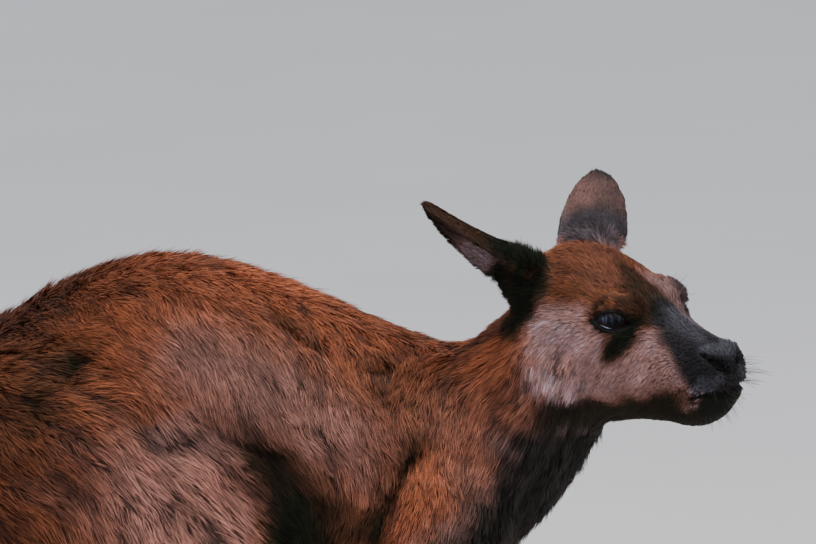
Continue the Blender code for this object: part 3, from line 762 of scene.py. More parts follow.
    # pale streaks and edges
    streak = smoothStep(0.36, 0.68, valueNoise(points, 0.003, 31))
    pale = most(0.54 * on["cheekPale"] * streak, 0.3 * cheek * streak * smoothStep(0.3, 0.1, dark))
    dark = most(dark, 0.16 * cheek * smoothStep(0.52, 0.3, valueNoise(points, 0.0042, 32)))
    on["cheekTop"] *= 0.4 + 0.6 * streak
    on["mouthCorner"] *= streak
    on["belly"] = smoothStep(-0.1, -0.8, normals[:, 2]) * smoothStep(0.12, 0.2, bodyZ)
    on["belly"] *= (1 - near) * (1 - throat)
    pale = strongest(on, paleAmounts, pale)
    dark = dark * (1 - 0.6 * on["mouthCorner"])
    grey = most(grey, 0.8 * on["eyeRing"] * (1 - dark))
    return np.stack([dark, orange, grey, pale], 1)


marks = markings(skinCo, smoothNormal, skinPart)
darkByPart = {
    "foot": 0.75, "hand": 0.85, "forearm": 0.35, "shank": 0.12, "tail_tip": 0.75, "tail_middle": 0.4,
}
partDark = most(*[amount * partIs(skinPart, name) for name, amount in darkByPart.items()])
partDark = spread(partDark, 60) * (0.8 + 0.4 * valueNoise(skinCo, 0.012, 54))
marks[:, 0] = most(marks[:, 0], np.clip(partDark, 0, 1))

# ears: the way each points and the way its opening faces, head axes; how dark, grey and pale
earSet = {
    "right": {"along": (-0.521, -0.663, 0.544), "opening": (0.04, -0.73, -0.68)},
    "left": {"along": (-0.613, 0.717, 0.336), "opening": (-0.312, 0.300, -0.900)},
    "insideShade": 0.9,
    "insideGrey": 0.35,
    "stripWide": 0.007,
    "stripCut": 0.45,
    "stripPale": 0.42,
}


def earShades(side, share, acrossShare):
    grown = smoothStep(0.1, 0.5, share)
    if side == "right":
        return 0.92 - 0.06 * grown + 0.08 * smoothStep(0.5, 0.15, share), 0.05, 0.0
    lighter = smoothStep(0.3, 0.75, acrossShare) * grown
    darkness = 1.0 - 0.19 * grown - 0.26 * lighter + 0.25 * smoothStep(0.8, 0.98, share)
    return darkness, 0.78, 0.16 - 0.22 * grown + 0.3 * smoothStep(0.8, 1.0, acrossShare)


def shareOf(values, mine):
    low, high = values[mine].min(), values[mine].max()
    return (values - low) / (high - low)


earInside, earRim = np.zeros((2, len(skinCo)))
for side in eyeMiddles:
    ear = earSet[side]
    mine = skinPart == partNumber["ear_" + side]
    inside = mine * smoothStep(0.05, 0.45, smoothNormal @ headWay(ear["opening"]))
    share = shareOf(inHead @ np.array(ear["along"]), mine)
    depthIn = inHead @ np.cross(ear["along"], ear["opening"])
    halfWay = 0.5 * (depthIn[mine].max() + depthIn[mine].min())
    strip = smoothStep(halfWay, halfWay - earSet["stripWide"], depthIn) * inside
    strip = strip * smoothStep(0.54, 0.34, share) * smoothStep(0.0, 0.08, share)
    darkness, greyness, paleness = earShades(side, share, shareOf(depthIn, mine))
    # painted shadow deep in the ear's opening, lifted on the pale strip of skin near its lower rim
    insideShade = earSet["insideShade"] * inside * (1 - earSet["stripCut"] * strip)
    shades = (
        darkness * (1 - inside) + insideShade,
        0.0 * share,
        greyness + (earSet["insideGrey"] - greyness) * inside,
        paleness * (1 - inside) + earSet["stripPale"] * strip,
    )
    marks = np.where(mine[:, None], np.stack(shades, 1), marks)
    earInside = most(earInside, inside)
    if side == "right":
        earRim = mine * smoothStep(0.88, 0.98, smoothNormal[:, 2]) * smoothStep(0.2, 0.38, share)
marks[:, 0] = marks[:, 0] * (1 - 0.5 * earRim)
marks[:, 1] = most(marks[:, 1], 0.6 * earRim)

# painted shade in the partings of the body's coat and in the folds, and the dark skin round the eyes
onBody = partIs(skinPart, "trunk", "thigh", "rump", "shoulders", "neck") * (1 - headShare)
parting = smoothStep(0.05, 0.012, np.abs(valueNoise(skinCo, 0.026, 52) - 0.5))
parting = parting * smoothStep(0.42, 0.62, valueNoise(skinCo, 0.045, 53)) * onBody
foldDark = most(foldDark, 0.85 * parting)
strandLength = strandLength * (1 - 0.35 * parting)
marks[:, 0] = most(marks[:, 0], foldDark)
marks[:, 2] = most(marks[:, 2] * (1 - foldDark), foldGrey * (1 - foldCore))
marks = np.clip(spread(marks, 2), 0, 1)
bare = np.clip(grooveMask["nostril"] * 1.6 + grooveMask["mouth"] * 1.3, 0, 1)
growth = 1.0
for side in eyeMiddles:
    along, height, ahead, radius, edge = fromEye(inHead, side)
    reach = np.where(height > 0, lidSet["darkAbove"], lidSet["darkBelow"])
    reach = reach + lidSet["darkFront"] * smoothStep(-0.004, 0.012, along)
    reach = reach + lidSet["darkRagged"] * (valueNoise(skinCo, 0.003, 41) - 0.5)
    close = (radius < eyeRadius * lidSet["darkZone"]) & (ahead > -0.002)
    around = np.where(close, smoothStep(reach, reach * 0.45, edge), 0.0)
    marks[:, 0] = most(marks[:, 0], 0.97 * around)
    marks[:, 1:] = marks[:, 1:] * (1 - around)[:, None]
    close = (radius < eyeRadius * lidSet["bareZone"]) & (ahead > 0)
    bare = np.where(close, most(bare, smoothStep(*lidSet["bareEdge"], edge)), bare)
    close = (radius < eyeRadius * lidSet["coatZone"]) & (ahead > 0)
    growth = growth * np.where(close, smoothStep(*lidSet["coatEdge"], edge), 1.0)
print("markings set")

# where tufts may grow: not on bare skin, nor under the feet, and thinly underneath
growth = growth * (1 - smoothStep(0.1, 0.5, bare))
growth = np.where((skinCo[:, 2] < 0.004) & (smoothNormal[:, 2] < -0.3), 0.0, growth)
growth = growth * (1 - 0.55 * smoothStep(-0.2, -0.8, smoothNormal[:, 2]) * (1 - headShare))

# the lie of the coat: which way the tips point, given at a few places and blended
bodyLie = {
    "trunk_middle": [
        ((0.15, 0.3, 1.0), (0.8, -0.2, -0.5)),
        ((0.6, 0.2, 0.95), (0.6, -0.2, -0.75)),
        ((0.55, 0.0, 0.7), (0.57, 0.0, -0.82)),
        ((0.95, 0.0, 0.7), (0.42, 0.0, -0.9)),
        ((0.8, 0.0, 0.35), (0.7, 0.0, -0.7)),
        ((0.5, 0.3, 0.0), (-0.8, 0.0, -0.1)),
    ],
    "thigh_right": [
        ((0.15, 0.3, 0.9), (0.98, 0.0, -0.15)),
        ((0.5, 0.3, 0.9), (0.9, 0.0, -0.4)),
        ((0.3, 0.0, 0.5), (0.8, 0.0, -0.55)),
        ((0.9, 0.0, 0.5), (0.45, 0.0, -0.9)),
        ((0.1, 0.0, 0.2), (-0.2, 0.0, -0.95)),
    ],
    "rump": [((0.5, 0.2, 0.9), (0.75, -0.2, -0.6)), ((0.0, 0.3, 0.6), (-0.35, 0.0, -0.9))],
    "shoulders": [
        ((0.1, 0.3, 1.0), (0.3, -0.5, -0.85)),
        ((0.4, 0.0, 0.6), (0.12, 0.0, -0.98)),
        ((0.9, 0.1, 0.3), (-0.2, 0.0, -0.95)),
    ],
    "neck": [
        ((0.1, 0.4, 1.0), (0.0, -0.7, -0.7)),
        ((0.3, 0.0, 0.7), (-0.12, 0.0, -0.98)),
        ((0.9, 0.2, 0.7), (-0.5, 0.0, -0.85)),
        ((0.7, 0.1, 0.2), (-0.45, 0.0, -0.88)),
    ],
    "upper_arm_right": [((0.5, 0.0, 0.5), (-0.15, 0.0, -0.98))],
    "forearm_right": [((0.5, 0.0, 0.5), (0.1, -0.2, -0.97))],
    "hand_right": [((0.5, 0.5, 1.0), (0.9, 0.0, -0.4))],
    "shank_right": [((0.9, 0.3, 0.9), (-0.5, 0.0, -0.85)), ((0.3, 0.3, 0.3), (-0.75, 0.0, -0.65))],
    "foot_right": [((0.2, 0.3, 0.9), (0.6, 0.0, -0.7)), ((0.8, 0.3, 0.9), (0.97, 0.0, -0.2))],
    "tail_base": [((0.9, 0.5, 0.8), (-0.75, 0.0, -0.65)), ((0.2, 0.5, 0.4), (-0.9, 0.0, -0.4))],
    "tail_middle": [((0.5, 0.5, 1.0), (-0.95, 0.25, -0.1))],
    "tail_tip": [((0.5, 0.5, 1.0), (-0.9, 0.35, -0.05))],
}
headLie = [
    ((80, -12, -12), (-0.9, -0.1, 0.4)),
    ((50, -18, -8), (-0.95, -0.2, 0.1)),
    ((55, -26, -35), (-0.75, 0.0, -0.6)),
    ((20, -30, -35), (-0.6, 0.0, -0.8)),
    ((78, -15, -40), (-0.6, 0.0, -0.8)),
    ((80, 0, -62), (-0.6, 0.0, -0.8)),
    ((30, -22, -75), (-0.9, 0.0, -0.3)),
    ((0, -44, -30), (-0.6, -0.1, -0.8)),
    ((-30, -48, -35), (-0.5, -0.1, -0.85)),
    ((-55, -60, -55), (-0.45, 0.0, -0.9)),
    ((-20, -38, 18), (-0.9, 0.0, 0.2)),
    ((5, -24, 17), (-0.8, -0.4, 0.5)),
    ((-10, 0, 32), (-0.95, 0.0, 0.3)),
    ((-50, -10, 42), (-0.97, 0.0, 0.0)),
    ((-60, -40, 20), (-0.9, -0.2, -0.3)),
    ((-90, -20, 20), (-0.9, 0.0, -0.4)),
    ((-40, -45, -5), (-0.8, 0.0, -0.55)),
    ((-20, -20, -82), (-0.8, 0.0, -0.5)),
]
lieReach = 0.02


def lieField(points, normals):
    given = []
    for node, rows in bodyLie.items():
        for share, way in rows:
            for flip in mirrors[: 1 if node.startswith("tail") else 2]:
                given.append((spot(node, share) * flip, way * flip))
    for place, way in headLie:
        for flip in mirrors:
            given.append((fromHead(place * flip * millimetre), headWay(way * flip)))
    total = np.zeros_like(points)
    for place, way in given:
        gap = ((points - place) ** 2).sum(1)
        total += (1.0 / (gap + lieReach**2) ** 2)[:, None] * unit(way)[None]
    return flattened(unit(total), normals)


lie = lieField(skinCo, smoothNormal)
for side in eyeMiddles:
    mine = (skinPart == partNumber["ear_" + side])[:, None]
    lie = np.where(mine, headWay(earSet[side]["along"])[None], lie)
lie = flattened(spread(lie, 3), smoothNormal)
print("lie of the coat set")

# the coat's areas: the parts they cover and the strands on the right and on the left
coatAreas = {
    "face": (("head", "lower_jaw"), 64000, 46000),
    "ears": (("ear",), 46000),
    "neck": (("neck", "shoulders", "upper_arm", "forearm", "hand"), 64000, 44000),
    "ribs": (("trunk_middle",), 52000, 34000),
    "haunch": (("thigh", "rump"), 60000, 40000),
    "tail_and_feet": (("tail_base", "tail_middle", "tail_tip", "shank", "foot"), 50000),
}
tuftSet = {
    "perClump": 5,
    "spreadShare": 0.13,
    "pull": 0.55,
    "bow": 0.07,
    "roll": 55.0,
    "sway": 6.0,
    "bury": 0.0008,
    "patch": 0.003,
    "calm": 0.5,
    "lockStep": 0.004,
    "lockWidth": 0.0055,
    "lockContrast": 3.2,
    "parting": 0.75,
    "fringeLift": 12.0,
    "fringeShare": 0.15,
    "wave": 24.0,
    "waveSize": 0.030,
    "ripple": 16.0,
    "rippleSize": 0.010,
    "middle": 0.48,
    "taper": 0.8,
    "floorGap": 0.0004,
    "clumpLength": (0.8, 1.18),
    "clumpLift": (0.8, 1.2),
    "strandLength": (0.75, 1.1),
    "strandWidth": (0.75, 1.25),
    "strandLift": (0.8, 1.25),
    "strandPull": (0.4, 1.2),
    "toneChance": 0.12,
    "toneSize": 0.0035,
    "furryFrom": (5.0, 12.0),
    "quickShare": 0.12,
}
strandShare = 1.0
triangles = readAll(skin.data.polygons, "vertices", 3, np.int32)
uv = readAll(skin.data.uv_layers["OFBake"].data, "uv", 2).reshape(-1, 3, 2)
corner = skinCo[triangles]
area = 0.5 * np.linalg.norm(np.cross(corner[:, 1] - corner[:, 0], corner[:, 2] - corner[:, 0]), axis=1)
trianglePart = skinPart[triangles[:, 0]]
triangleMiddle = corner.mean(1)
crowd = 1 + 0.6 * smoothStep(0.28, 0.36, skinCo[:, 2]) - 0.3 * smoothStep(0.2, 0.1, skinCo[:, 2])
weight = area * growth[triangles].mean(1) * crowd[triangles].mean(1)
skinFields = np.column_stack([smoothNormal, lie, strandLength, strandLift, strandWidth, fringe])
skinTree = BVHTree.FromPolygons([Vector(p) for p in skinCo], triangles.tolist())


def scattered(chosen, count, rng):
    # even, seeded places over the chosen triangles
    pile = np.cumsum(weight * chosen)
    ticks = (np.arange(count) + rng.random(count)) / count * pile[-1]
    which = np.minimum(np.searchsorted(pile, ticks), len(pile) - 1)
    a, b = rng.random(count), rng.random(count)
    over = a + b > 1
    a[over], b[over] = 1 - a[over], 1 - b[over]
    return which, np.stack([1 - a - b, a, b], 1)[:, :, None]


def marksNear(spots):
    hits = np.array([skinTree.find_nearest(Vector(p))[2] for p in spots])
    near = 1.0 / (np.linalg.norm(corner[hits] - spots[:, None, :], axis=2) + 1e-5)
    near = near / near.sum(1, keepdims=True)
    return (marks[triangles[hits]] * near[:, :, None]).sum(1)


def aimed(ways, normals, lifts):
    lift = np.radians(lifts)[:, None]
    return ways * np.cos(lift) + normals * np.sin(lift)


def turned(ways, across, degrees):
    turn = np.radians(degrees)[:, None]
    return unit(ways * np.cos(turn) + across * np.sin(turn))


def makeStrands(name, roots, normals, aims, lengths, widths, clumpTips, pulls, tints, chances, uvRoot, rng):
    # each strand is a tapered, bowed blade: two points at the root, two at the middle and a tip
    count = len(roots)
    tips = roots + aims * lengths[:, None]
    tips = tips + (clumpTips - tips) * (tuftSet["pull"] * pulls)[:, None]
    middle = roots + (tips - roots) * tuftSet["middle"] + normals * (lengths * tuftSet["bow"])[:, None]
    roll = np.radians(rng.uniform(-tuftSet["roll"], tuftSet["roll"], count))[:, None]
    spine = unit(tips - roots)
    flat = unit(np.cross(spine, normals))
    blade = flat * np.cos(roll) + np.cross(flat, spine) * np.sin(roll)
    half = blade * (widths * 0.5)[:, None]
    sunk = roots - normals * tuftSet["bury"]
    halfUp = half * tuftSet["taper"]
    points = np.stack([sunk - half, sunk + half, middle - halfUp, middle + halfUp, tips], 1).reshape(-1, 3)
    points[:, 2] = np.maximum(points[:, 2], tuftSet["floorGap"])
    start = np.arange(count)[:, None] * 5
    faces = np.concatenate([start + f for f in ((0, 1, 2), (1, 3, 2), (2, 3, 4))], 1).reshape(-1, 3)
    mesh = bpy.data.meshes.new(name)
    mesh.vertices.add(len(points))
    mesh.vertices.foreach_set("co", points.astype(np.float32).ravel())
    mesh.loops.add(len(faces) * 3)
    mesh.loops.foreach_set("vertex_index", faces.astype(np.int32).ravel())
    mesh.polygons.add(len(faces))
    mesh.polygons.foreach_set("loop_start", (np.arange(len(faces)) * 3).astype(np.int32))
    mesh.polygons.foreach_set("use_smooth", np.ones(len(faces), bool))
    mesh.update(calc_edges=True)
    heights = np.tile([0.0, 0.0, 0.5, 0.5, 1.0], count)
    strand = np.column_stack([heights, np.repeat(chances, 5, axis=0), np.ones(count * 5)])
    addField(mesh, "marks", "FLOAT_COLOR", "color", np.repeat(tints, 5, axis=0))
    addField(mesh, "strand", "FLOAT_COLOR", "color", strand)
    facing = unit(np.cross(blade, spine))
    shown = unit(tuftSet["calm"] * normals + (1 - tuftSet["calm"]) * facing)
    mesh.normals_split_custom_set_from_vertices(np.repeat(shown, 5, axis=0).astype(np.float32))
    square = np.array([(-0.5, -0.5), (0.5, -0.5), (-0.5, 0.0), (0.5, 0.0), (0.0, 0.5)])
    uvPoint = np.clip((uvRoot[:, None, :] + square * tuftSet["patch"]).reshape(-1, 2), 0, 1)
    layer = mesh.uv_layers.new(name="OFBake")
    layer.data.foreach_set("uv", uvPoint[faces.ravel()].astype(np.float32).ravel())
    return addObject(name, mesh)


def growCoat(name, chosen, strands, rng):
    # clumps first, then the strands of each clump, drawn in to its tip
    count = int(strands * strandShare / tuftSet["perClump"])
    which, shares = scattered(chosen, count, rng)
    root = (skinCo[triangles[which]] * shares).sum(1)
    field = (skinFields[triangles[which]] * shares).sum(1)
    uvRoot = (uv[which] * shares).sum(1)
    normals, ways = unit(field[:, 0:3]), unit(field[:, 3:6])
    lengths, lifts, widths = field[:, 6] * millimetre, field[:, 7], field[:, 8] * millimetre
    fringed = field[:, 9]
    furry = smoothStep(*tuftSet["furryFrom"], field[:, 6])
    sway = rng.normal(0, tuftSet["sway"], count)
    wave = (valueNoise(root, tuftSet["waveSize"], 11) - 0.5) * 2 * tuftSet["wave"]
    ripple = (valueNoise(root, tuftSet["rippleSize"], 12) - 0.5) * 2 * tuftSet["ripple"]
    sway = sway + wave * (0.35 + 0.65 * furry) + ripple * (0.45 + 0.55 * furry)
    ways = turned(ways, np.cross(normals, ways), sway)
    across = np.cross(normals, ways)
    lengths = lengths * rng.uniform(*tuftSet["clumpLength"], count)
    locks = np.zeros(count)
    for step in range(-3, 4):
        locks += valueNoise(root + ways * (step * tuftSet["lockStep"]), tuftSet["lockWidth"], 21) / 7
    locks = np.clip(0.5 + (locks - 0.5) * tuftSet["lockContrast"], 0, 1)
    lifts = lifts * (1 + (0.9 * locks - 0.45) * (0.35 + 0.65 * furry))
    lifts = lifts * rng.uniform(*tuftSet["clumpLift"], count)
    lifts = lifts + tuftSet["fringeLift"] * fringed * (rng.random(count) < tuftSet["fringeShare"])
    clumpTips = root + aimed(ways, normals, lifts) * lengths[:, None]
    clumpMarks = marksNear(root + ways * ((0.5 + 0.18 * furry) * lengths)[:, None])
    # painted shade in the partings between low-lying locks
    parted = smoothStep(0.4, 0.12, locks) * smoothStep(0.15, 0.5, clumpMarks[:, 2]) * furry
    clumpMarks[:, 0] = most(clumpMarks[:, 0], tuftSet["parting"] * parted)
    tone = 0.22 + 0.78 * (0.7 * locks + 0.3 * valueNoise(root, tuftSet["toneSize"], 22))
    tone = tone + rng.normal(0, tuftSet["toneChance"], count)
    tone = np.clip(0.5 + (tone - 0.5) * (0.32 + 0.68 * furry), 0, 1)
    again = np.repeat(np.arange(count), tuftSet["perClump"])
    total = len(again)
    offAlong = rng.normal(0, 1, total) * (lengths * tuftSet["spreadShare"])[again]
    offAcross = rng.normal(0, 1, total) * (lengths * tuftSet["spreadShare"])[again]
    roots = root[again] + ways[again] * offAlong[:, None] + across[again] * offAcross[:, None]
    strandWays = turned(ways[again], across[again], rng.normal(0, tuftSet["sway"], total))
    tints = clumpMarks[again]
    chance = 0.5 * rng.random(total) + 0.5 * rng.random(count)[again]
    paleArea = smoothStep(0.08, 0.4, tints[:, 3]) * (1 - tints[:, 2] * tints[:, 0])
    tints[:, 0] = tints[:, 0] * (1 - 0.85 * paleArea * smoothStep(0.42, 0.62, chance))
    tints[:, 3] = np.clip(tints[:, 3] * (1 + paleArea * (3.6 * chance - 1.8)), 0, 1)
    lengths = lengths[again] * rng.uniform(*tuftSet["strandLength"], total)
    widths = widths[again] * rng.uniform(*tuftSet["strandWidth"], total)
    aims = aimed(strandWays, normals[again], lifts[again] * rng.uniform(*tuftSet["strandLift"], total))
    chances = np.stack([tone[again], rng.random(total)], 1)
    pulls = rng.uniform(*tuftSet["strandPull"], total) * (1 - 0.85 * fringed[again])
    shapes = (roots, normals[again], aims, lengths, widths, clumpTips[again], pulls)
    return makeStrands(name, *shapes, tints, chances, uvRoot[again], rng)


coatPieces = []
for zone, (parts, *strandCounts) in coatAreas.items():
    belongs = partIs(trianglePart, *parts) > 0
    acrossBody = (toHead(triangleMiddle) if zone == "face" else triangleMiddle)[:, 1]
    alone = len(strandCounts) == 1
    for strands, side, sign in zip(strandCounts, ("right", "left"), (-1, 1)):
        name = "coat_" + zone if alone else f"coat_{zone}_{side}"
        chosen = belongs if alone else belongs & (acrossBody * sign > 0)
        piece = growCoat(name, chosen, strands, np.random.default_rng(100 + len(coatPieces)))
        coatPieces.append(piece)
        print(name, len(piece.data.polygons), "triangles")

# whiskers, lashes and the long hairs of the chin and brows: lengths and thickness in mm;
# patches: middle and spread (mm, head axes), way the tips point, how many
hairSet = {
    "whiskers": {
        "length": (9, 22), "thick": 0.32, "bow": 0.12,
        "patches": [
            ((80, -17, -38), (5, 3, 5), (0.75, -0.5, -0.15), 22),
            ((86, -8, -40), (2, 4, 4), (0.95, -0.25, 0.05), 14),
        ],
    },
    "chin_hairs": {
        "length": (6, 13), "thick": 0.28, "bow": 0.1,
        "patches": [
            ((74, -10, -68), (6, 6, 3), (0.35, -0.1, -0.95), 18),
            ((86, -6, -55), (2, 4, 4), (0.9, -0.2, -0.5), 12),
        ],
    },
    "brow_hairs": {
        "length": (10, 20), "thick": 0.28, "bow": 0.15,
        "patches": [
            ((12, -24, 14), (4, 4, 3), (0.7, -0.25, 0.65), 7),
            ((16, -22, 8), (2, 3, 2), (0.8, -0.3, 0.4), 4),
        ],
    },
    "eyelashes": {"length": (4, 7), "thick": 0.34, "bow": 0.22, "perEye": 34},
}
hairRings = 4
hairSides = 3


def makeHairs(name, hairs):
    # each hair is a thin, tapered, three-sided tube bending towards its own way
    roots, ways, bends, lengths = (np.array(values) for values in zip(*hairs))
    steps = np.linspace(0, 1, hairRings + 1)
    line = [roots + ways * (lengths * t)[:, None] + bends * (lengths * t * t)[:, None] for t in steps]
    side = unit(np.cross(ways, bends + 1e-4))
    other = unit(np.cross(side, ways))
    points, pattern = [], []
    for i, t in enumerate(steps[:-1]):
        radius = 0.5 * hairSet[name]["thick"] * millimetre * (1 - 0.8 * t)
        for k in range(hairSides):
            angle = 2 * math.pi * k / hairSides
            points.append(line[i] + (side * math.cos(angle) + other * math.sin(angle)) * radius)
            a, b = i * hairSides + k, i * hairSides + (k + 1) % hairSides
            if i < hairRings - 1:
                pattern += [(a, b, b + hairSides), (a, b + hairSides, a + hairSides)]
            else:
                pattern.append((a, b, hairRings * hairSides))
    points.append(line[-1])
    cloudOfHair = np.stack(points, 1).reshape(-1, 3)
    cloudOfHair[:, 2] = np.maximum(cloudOfHair[:, 2], tuftSet["floorGap"])
    start = np.arange(len(roots))[:, None, None] * len(points)
    faces = (start + np.array(pattern)[None]).reshape(-1, 3)
    mesh = bpy.data.meshes.new(name)
    mesh.from_pydata(cloudOfHair.tolist(), [], faces.tolist())
    mesh.polygons.foreach_set("use_smooth", np.ones(len(faces), bool))
    mesh.update()
    return addObject(name, mesh)


def growHairs(name, rng):
    rule = hairSet[name]
    hairs = []
    for middle, scatter, way, count in rule["patches"]:
        for flip in mirrors:
            for _ in range(count):
                place = (np.array(middle) + rng.normal(0, 1, 3) * np.array(scatter)) * flip
                found = skinTree.find_nearest(Vector(fromHead(place * millimetre)))
                root, normal = np.array(found[0]), np.array(found[1])
                aim = unit(headWay(way * flip + rng.normal(0, 0.16, 3)))
                bend = rule["bow"] * (aim - np.array([0, 0, 0.5]))
                length = rng.uniform(*rule["length"]) * millimetre
                hairs.append((root - normal * 0.0008, unit(0.75 * aim + 0.45 * normal), bend, length))
    return makeHairs(name, hairs)


def growLashes(name, rng):
    rule = hairSet[name]
    half = lidSet["halfWidth"]
    hairs = []
    for side in eyeMiddles:
        gaze, across, up = eyeFrame(side)
        for along in np.linspace(-0.75 * half, 0.98 * half, rule["perEye"]):
            along = along + rng.normal(0, 0.0003)
            root = fromHead(onEyeball(side, along, lidHeight(along, lidSet["upper"], half) + 0.0006, 0.0012))
            fan = along / half
            way = unit(gaze * 0.6 + across * (0.1 + 0.35 * fan) - up * 0.62 + rng.normal(0, 0.1, 3))
            bend = headWay(unit(gaze * 0.4 + up * 0.25 + across * 0.3)) * rule["bow"]
            length = rng.uniform(*rule["length"]) * millimetre * (0.7 + 0.3 * (fan > 0))
            hairs.append((root, headWay(way), bend, length))
    return makeHairs(name, hairs)


rng = np.random.default_rng(7)
hairPieces = [growHairs(name, rng) for name in ("whiskers", "chin_hairs", "brow_hairs")]
hairPieces.append(growLashes("eyelashes", rng))
print("fine hairs made")

# the wet edges of the lids, and a wet tear line along part of each lower lid, coloured pale as a painted
# highlight
rimSet = {
    "steps": 72,
    "sides": 8,
    "lid_rims": {"thick": 0.0006, "from": 0.0, "to": 2 * math.pi, "inset": 0.0, "whole": True},
    "tear_highlight_lines": {"thick": 0.00022, "from": 3.85, "to": 4.6, "inset": 0.0007, "whole": False},
}


def lidRims(name):
    rule = rimSet[name]
    steps, sides = rimSet["steps"], rimSet["sides"]
    half = lidSet["halfWidth"] - rule["inset"]
    whole = rule["whole"]
    turns = np.linspace(rule["from"], rule["to"], steps, endpoint=not whole)
    points, faces = [], []
    for side in eyeMiddles:
        ring = []
        for turn in turns:
            upper = math.sin(turn) >= 0
            along = half * math.cos(turn)
            rise = lidSet["upper" if upper else "lower"] - rule["inset"]
            height = max(lidHeight(along, rise, half), 0.0) * (1 if upper else -1)
            ring.append(onEyeball(side, along, height, 0.0001))
        ring = np.array(ring)
        ahead = unit(np.roll(ring, -1, axis=0) - np.roll(ring, 1, axis=0))
        if not whole:
            ahead[0], ahead[-1] = ahead[1], ahead[-2]
        outward = unit(ring - eyeMiddles[side])
        sideways = np.cross(ahead, outward)
        start = len(points)
        for i in range(steps):
            fade = 1.0 if whole else max(0.15, math.sin(math.pi * i / (steps - 1)))
            for k in range(sides):
                angle = 2 * math.pi * k / sides
                shift = outward[i] * math.cos(angle) + sideways[i] * math.sin(angle)
                points.append(fromHead(ring[i] + shift * rule["thick"] * fade).tolist())
                here, there = start + i * sides, start + (i + 1) % steps * sides
                after = (k + 1) % sides
                if whole or i < steps - 1:
                    faces.append((here + k, here + after, there + after, there + k))
    mesh = bpy.data.meshes.new(name)
    mesh.from_pydata(points, [], faces)
    piece = addObject(name, mesh)
    editMesh(piece, mendMesh)
    smoothShade(piece)
    return piece


rims, tearHighlights = lidRims("lid_rims"), lidRims("tear_highlight_lines")
addField(skin.data, "marks", "FLOAT_COLOR", "color", marks)
bareFields = np.stack([bare, earInside * marks[:, 3], grooveMask["nostril"], np.ones(len(skinCo))], 1)
addField(skin.data, "bare", "FLOAT_COLOR", "color", bareFields)


def eyeball(side):
    # a smooth ball turned to its gaze, with the angle from the pupil and the place on it as fields
    bpy.ops.mesh.primitive_uv_sphere_add(segments=64, ring_count=40, radius=eyeRadius - 0.0001)
    eye = bpy.context.object
    eye.name = "eyeball_" + side
    gaze, across, up = (headWay(way) for way in eyeFrame(side))
    turn = Vector(gaze).to_track_quat("Z", "Y").to_matrix().to_4x4()
    eye.data.transform(Matrix.Translation(boxMiddle("eye_" + side)) @ turn)
    bpy.ops.object.shade_smooth()
    out = places(eye.data) - np.array(boxMiddle("eye_" + side))
    angle = np.degrees(np.arccos(np.clip(unit(out) @ gaze, -1, 1)))
    addField(eye.data, "fromPupil", "FLOAT", "value", angle)
    place = np.stack([out @ across, out @ up, out @ gaze], 1) / eyeRadius
    addField(eye.data, "eyePlace", "FLOAT_VECTOR", "vector", place)
    return eye


def smoothClaw(node):
    claw = copyOfNode(node, "smooth_" + node)
    applyModifier(claw, "SUBSURF", levels=2, render_levels=2)
    smoothShade(claw)
    return claw


eyes = {"eye_" + side: eyeball(side) for side in eyeMiddles}
claws = {node: smoothClaw(node) for node in sorted(n for n in nodes if n.startswith("claw_"))}
print("eyes and claws made")


def colour(red, green, blue):
    # a colour given as 0 to 255 display values
    values = []
    for c in (red, green, blue):
        c = c / 255
        values.append(c / 12.92 if c <= 0.04045 else ((c + 0.055) / 1.055) ** 2.4)
    return (*values, 1.0)


def feed(tree, node, inputs):
    for key, value in inputs.items():
        if isinstance(value, bpy.types.NodeSocket):
            tree.links.new(value, node.inputs[key])
        else:
            node.inputs[key].default_value = value


def addNode(tree, kind, settings, inputs):
    node = tree.nodes.new(kind)
    for key, value in settings.items():
        setattr(node, key, value)
    feed(tree, node, inputs)
    return node.outputs


def mixColour(tree, factor, first, second, blend="MIX"):
    settings = {"data_type": "RGBA", "blend_type": blend}
    return addNode(tree, "ShaderNodeMix", settings, {0: factor, 6: first, 7: second})[2]


def mapValue(tree, value, fromLow, fromHigh, toLow=0.0, toHigh=1.0):
    ends = {"From Min": fromLow, "From Max": fromHigh, "To Min": toLow, "To Max": toHigh}
    return addNode(tree, "ShaderNodeMapRange", {"clamp": True}, {"Value": value, **ends})["Result"]


def multiply(tree, first, second):
    return addNode(tree, "ShaderNodeMath", {"operation": "MULTIPLY"}, {0: first, 1: second})[0]


def noiseOf(tree, size, detail, vector=None):
    if vector is None:
        vector = addNode(tree, "ShaderNodeTexCoord", {}, {})["Object"]
    return addNode(tree, "ShaderNodeTexNoise", {}, {"Vector": vector, "Scale": size, "Detail": detail})["Fac"]


def bumpOf(tree, height, strength, distance):
    given = {"Height": height, "Strength": strength, "Distance": distance}
    return addNode(tree, "ShaderNodeBump", {}, given)["Normal"]


def fieldOf(tree, name):
    return addNode(tree, "ShaderNodeAttribute", {"attribute_name": name}, {})


def threeOf(tree, shade):
    return addNode(tree, "ShaderNodeSeparateColor", {}, {"Color": shade})


def newMaterial(name):
    material = bpy.data.materials.new(name)
    material.use_nodes = True
    return material, material.node_tree, material.node_tree.nodes["Principled BSDF"]


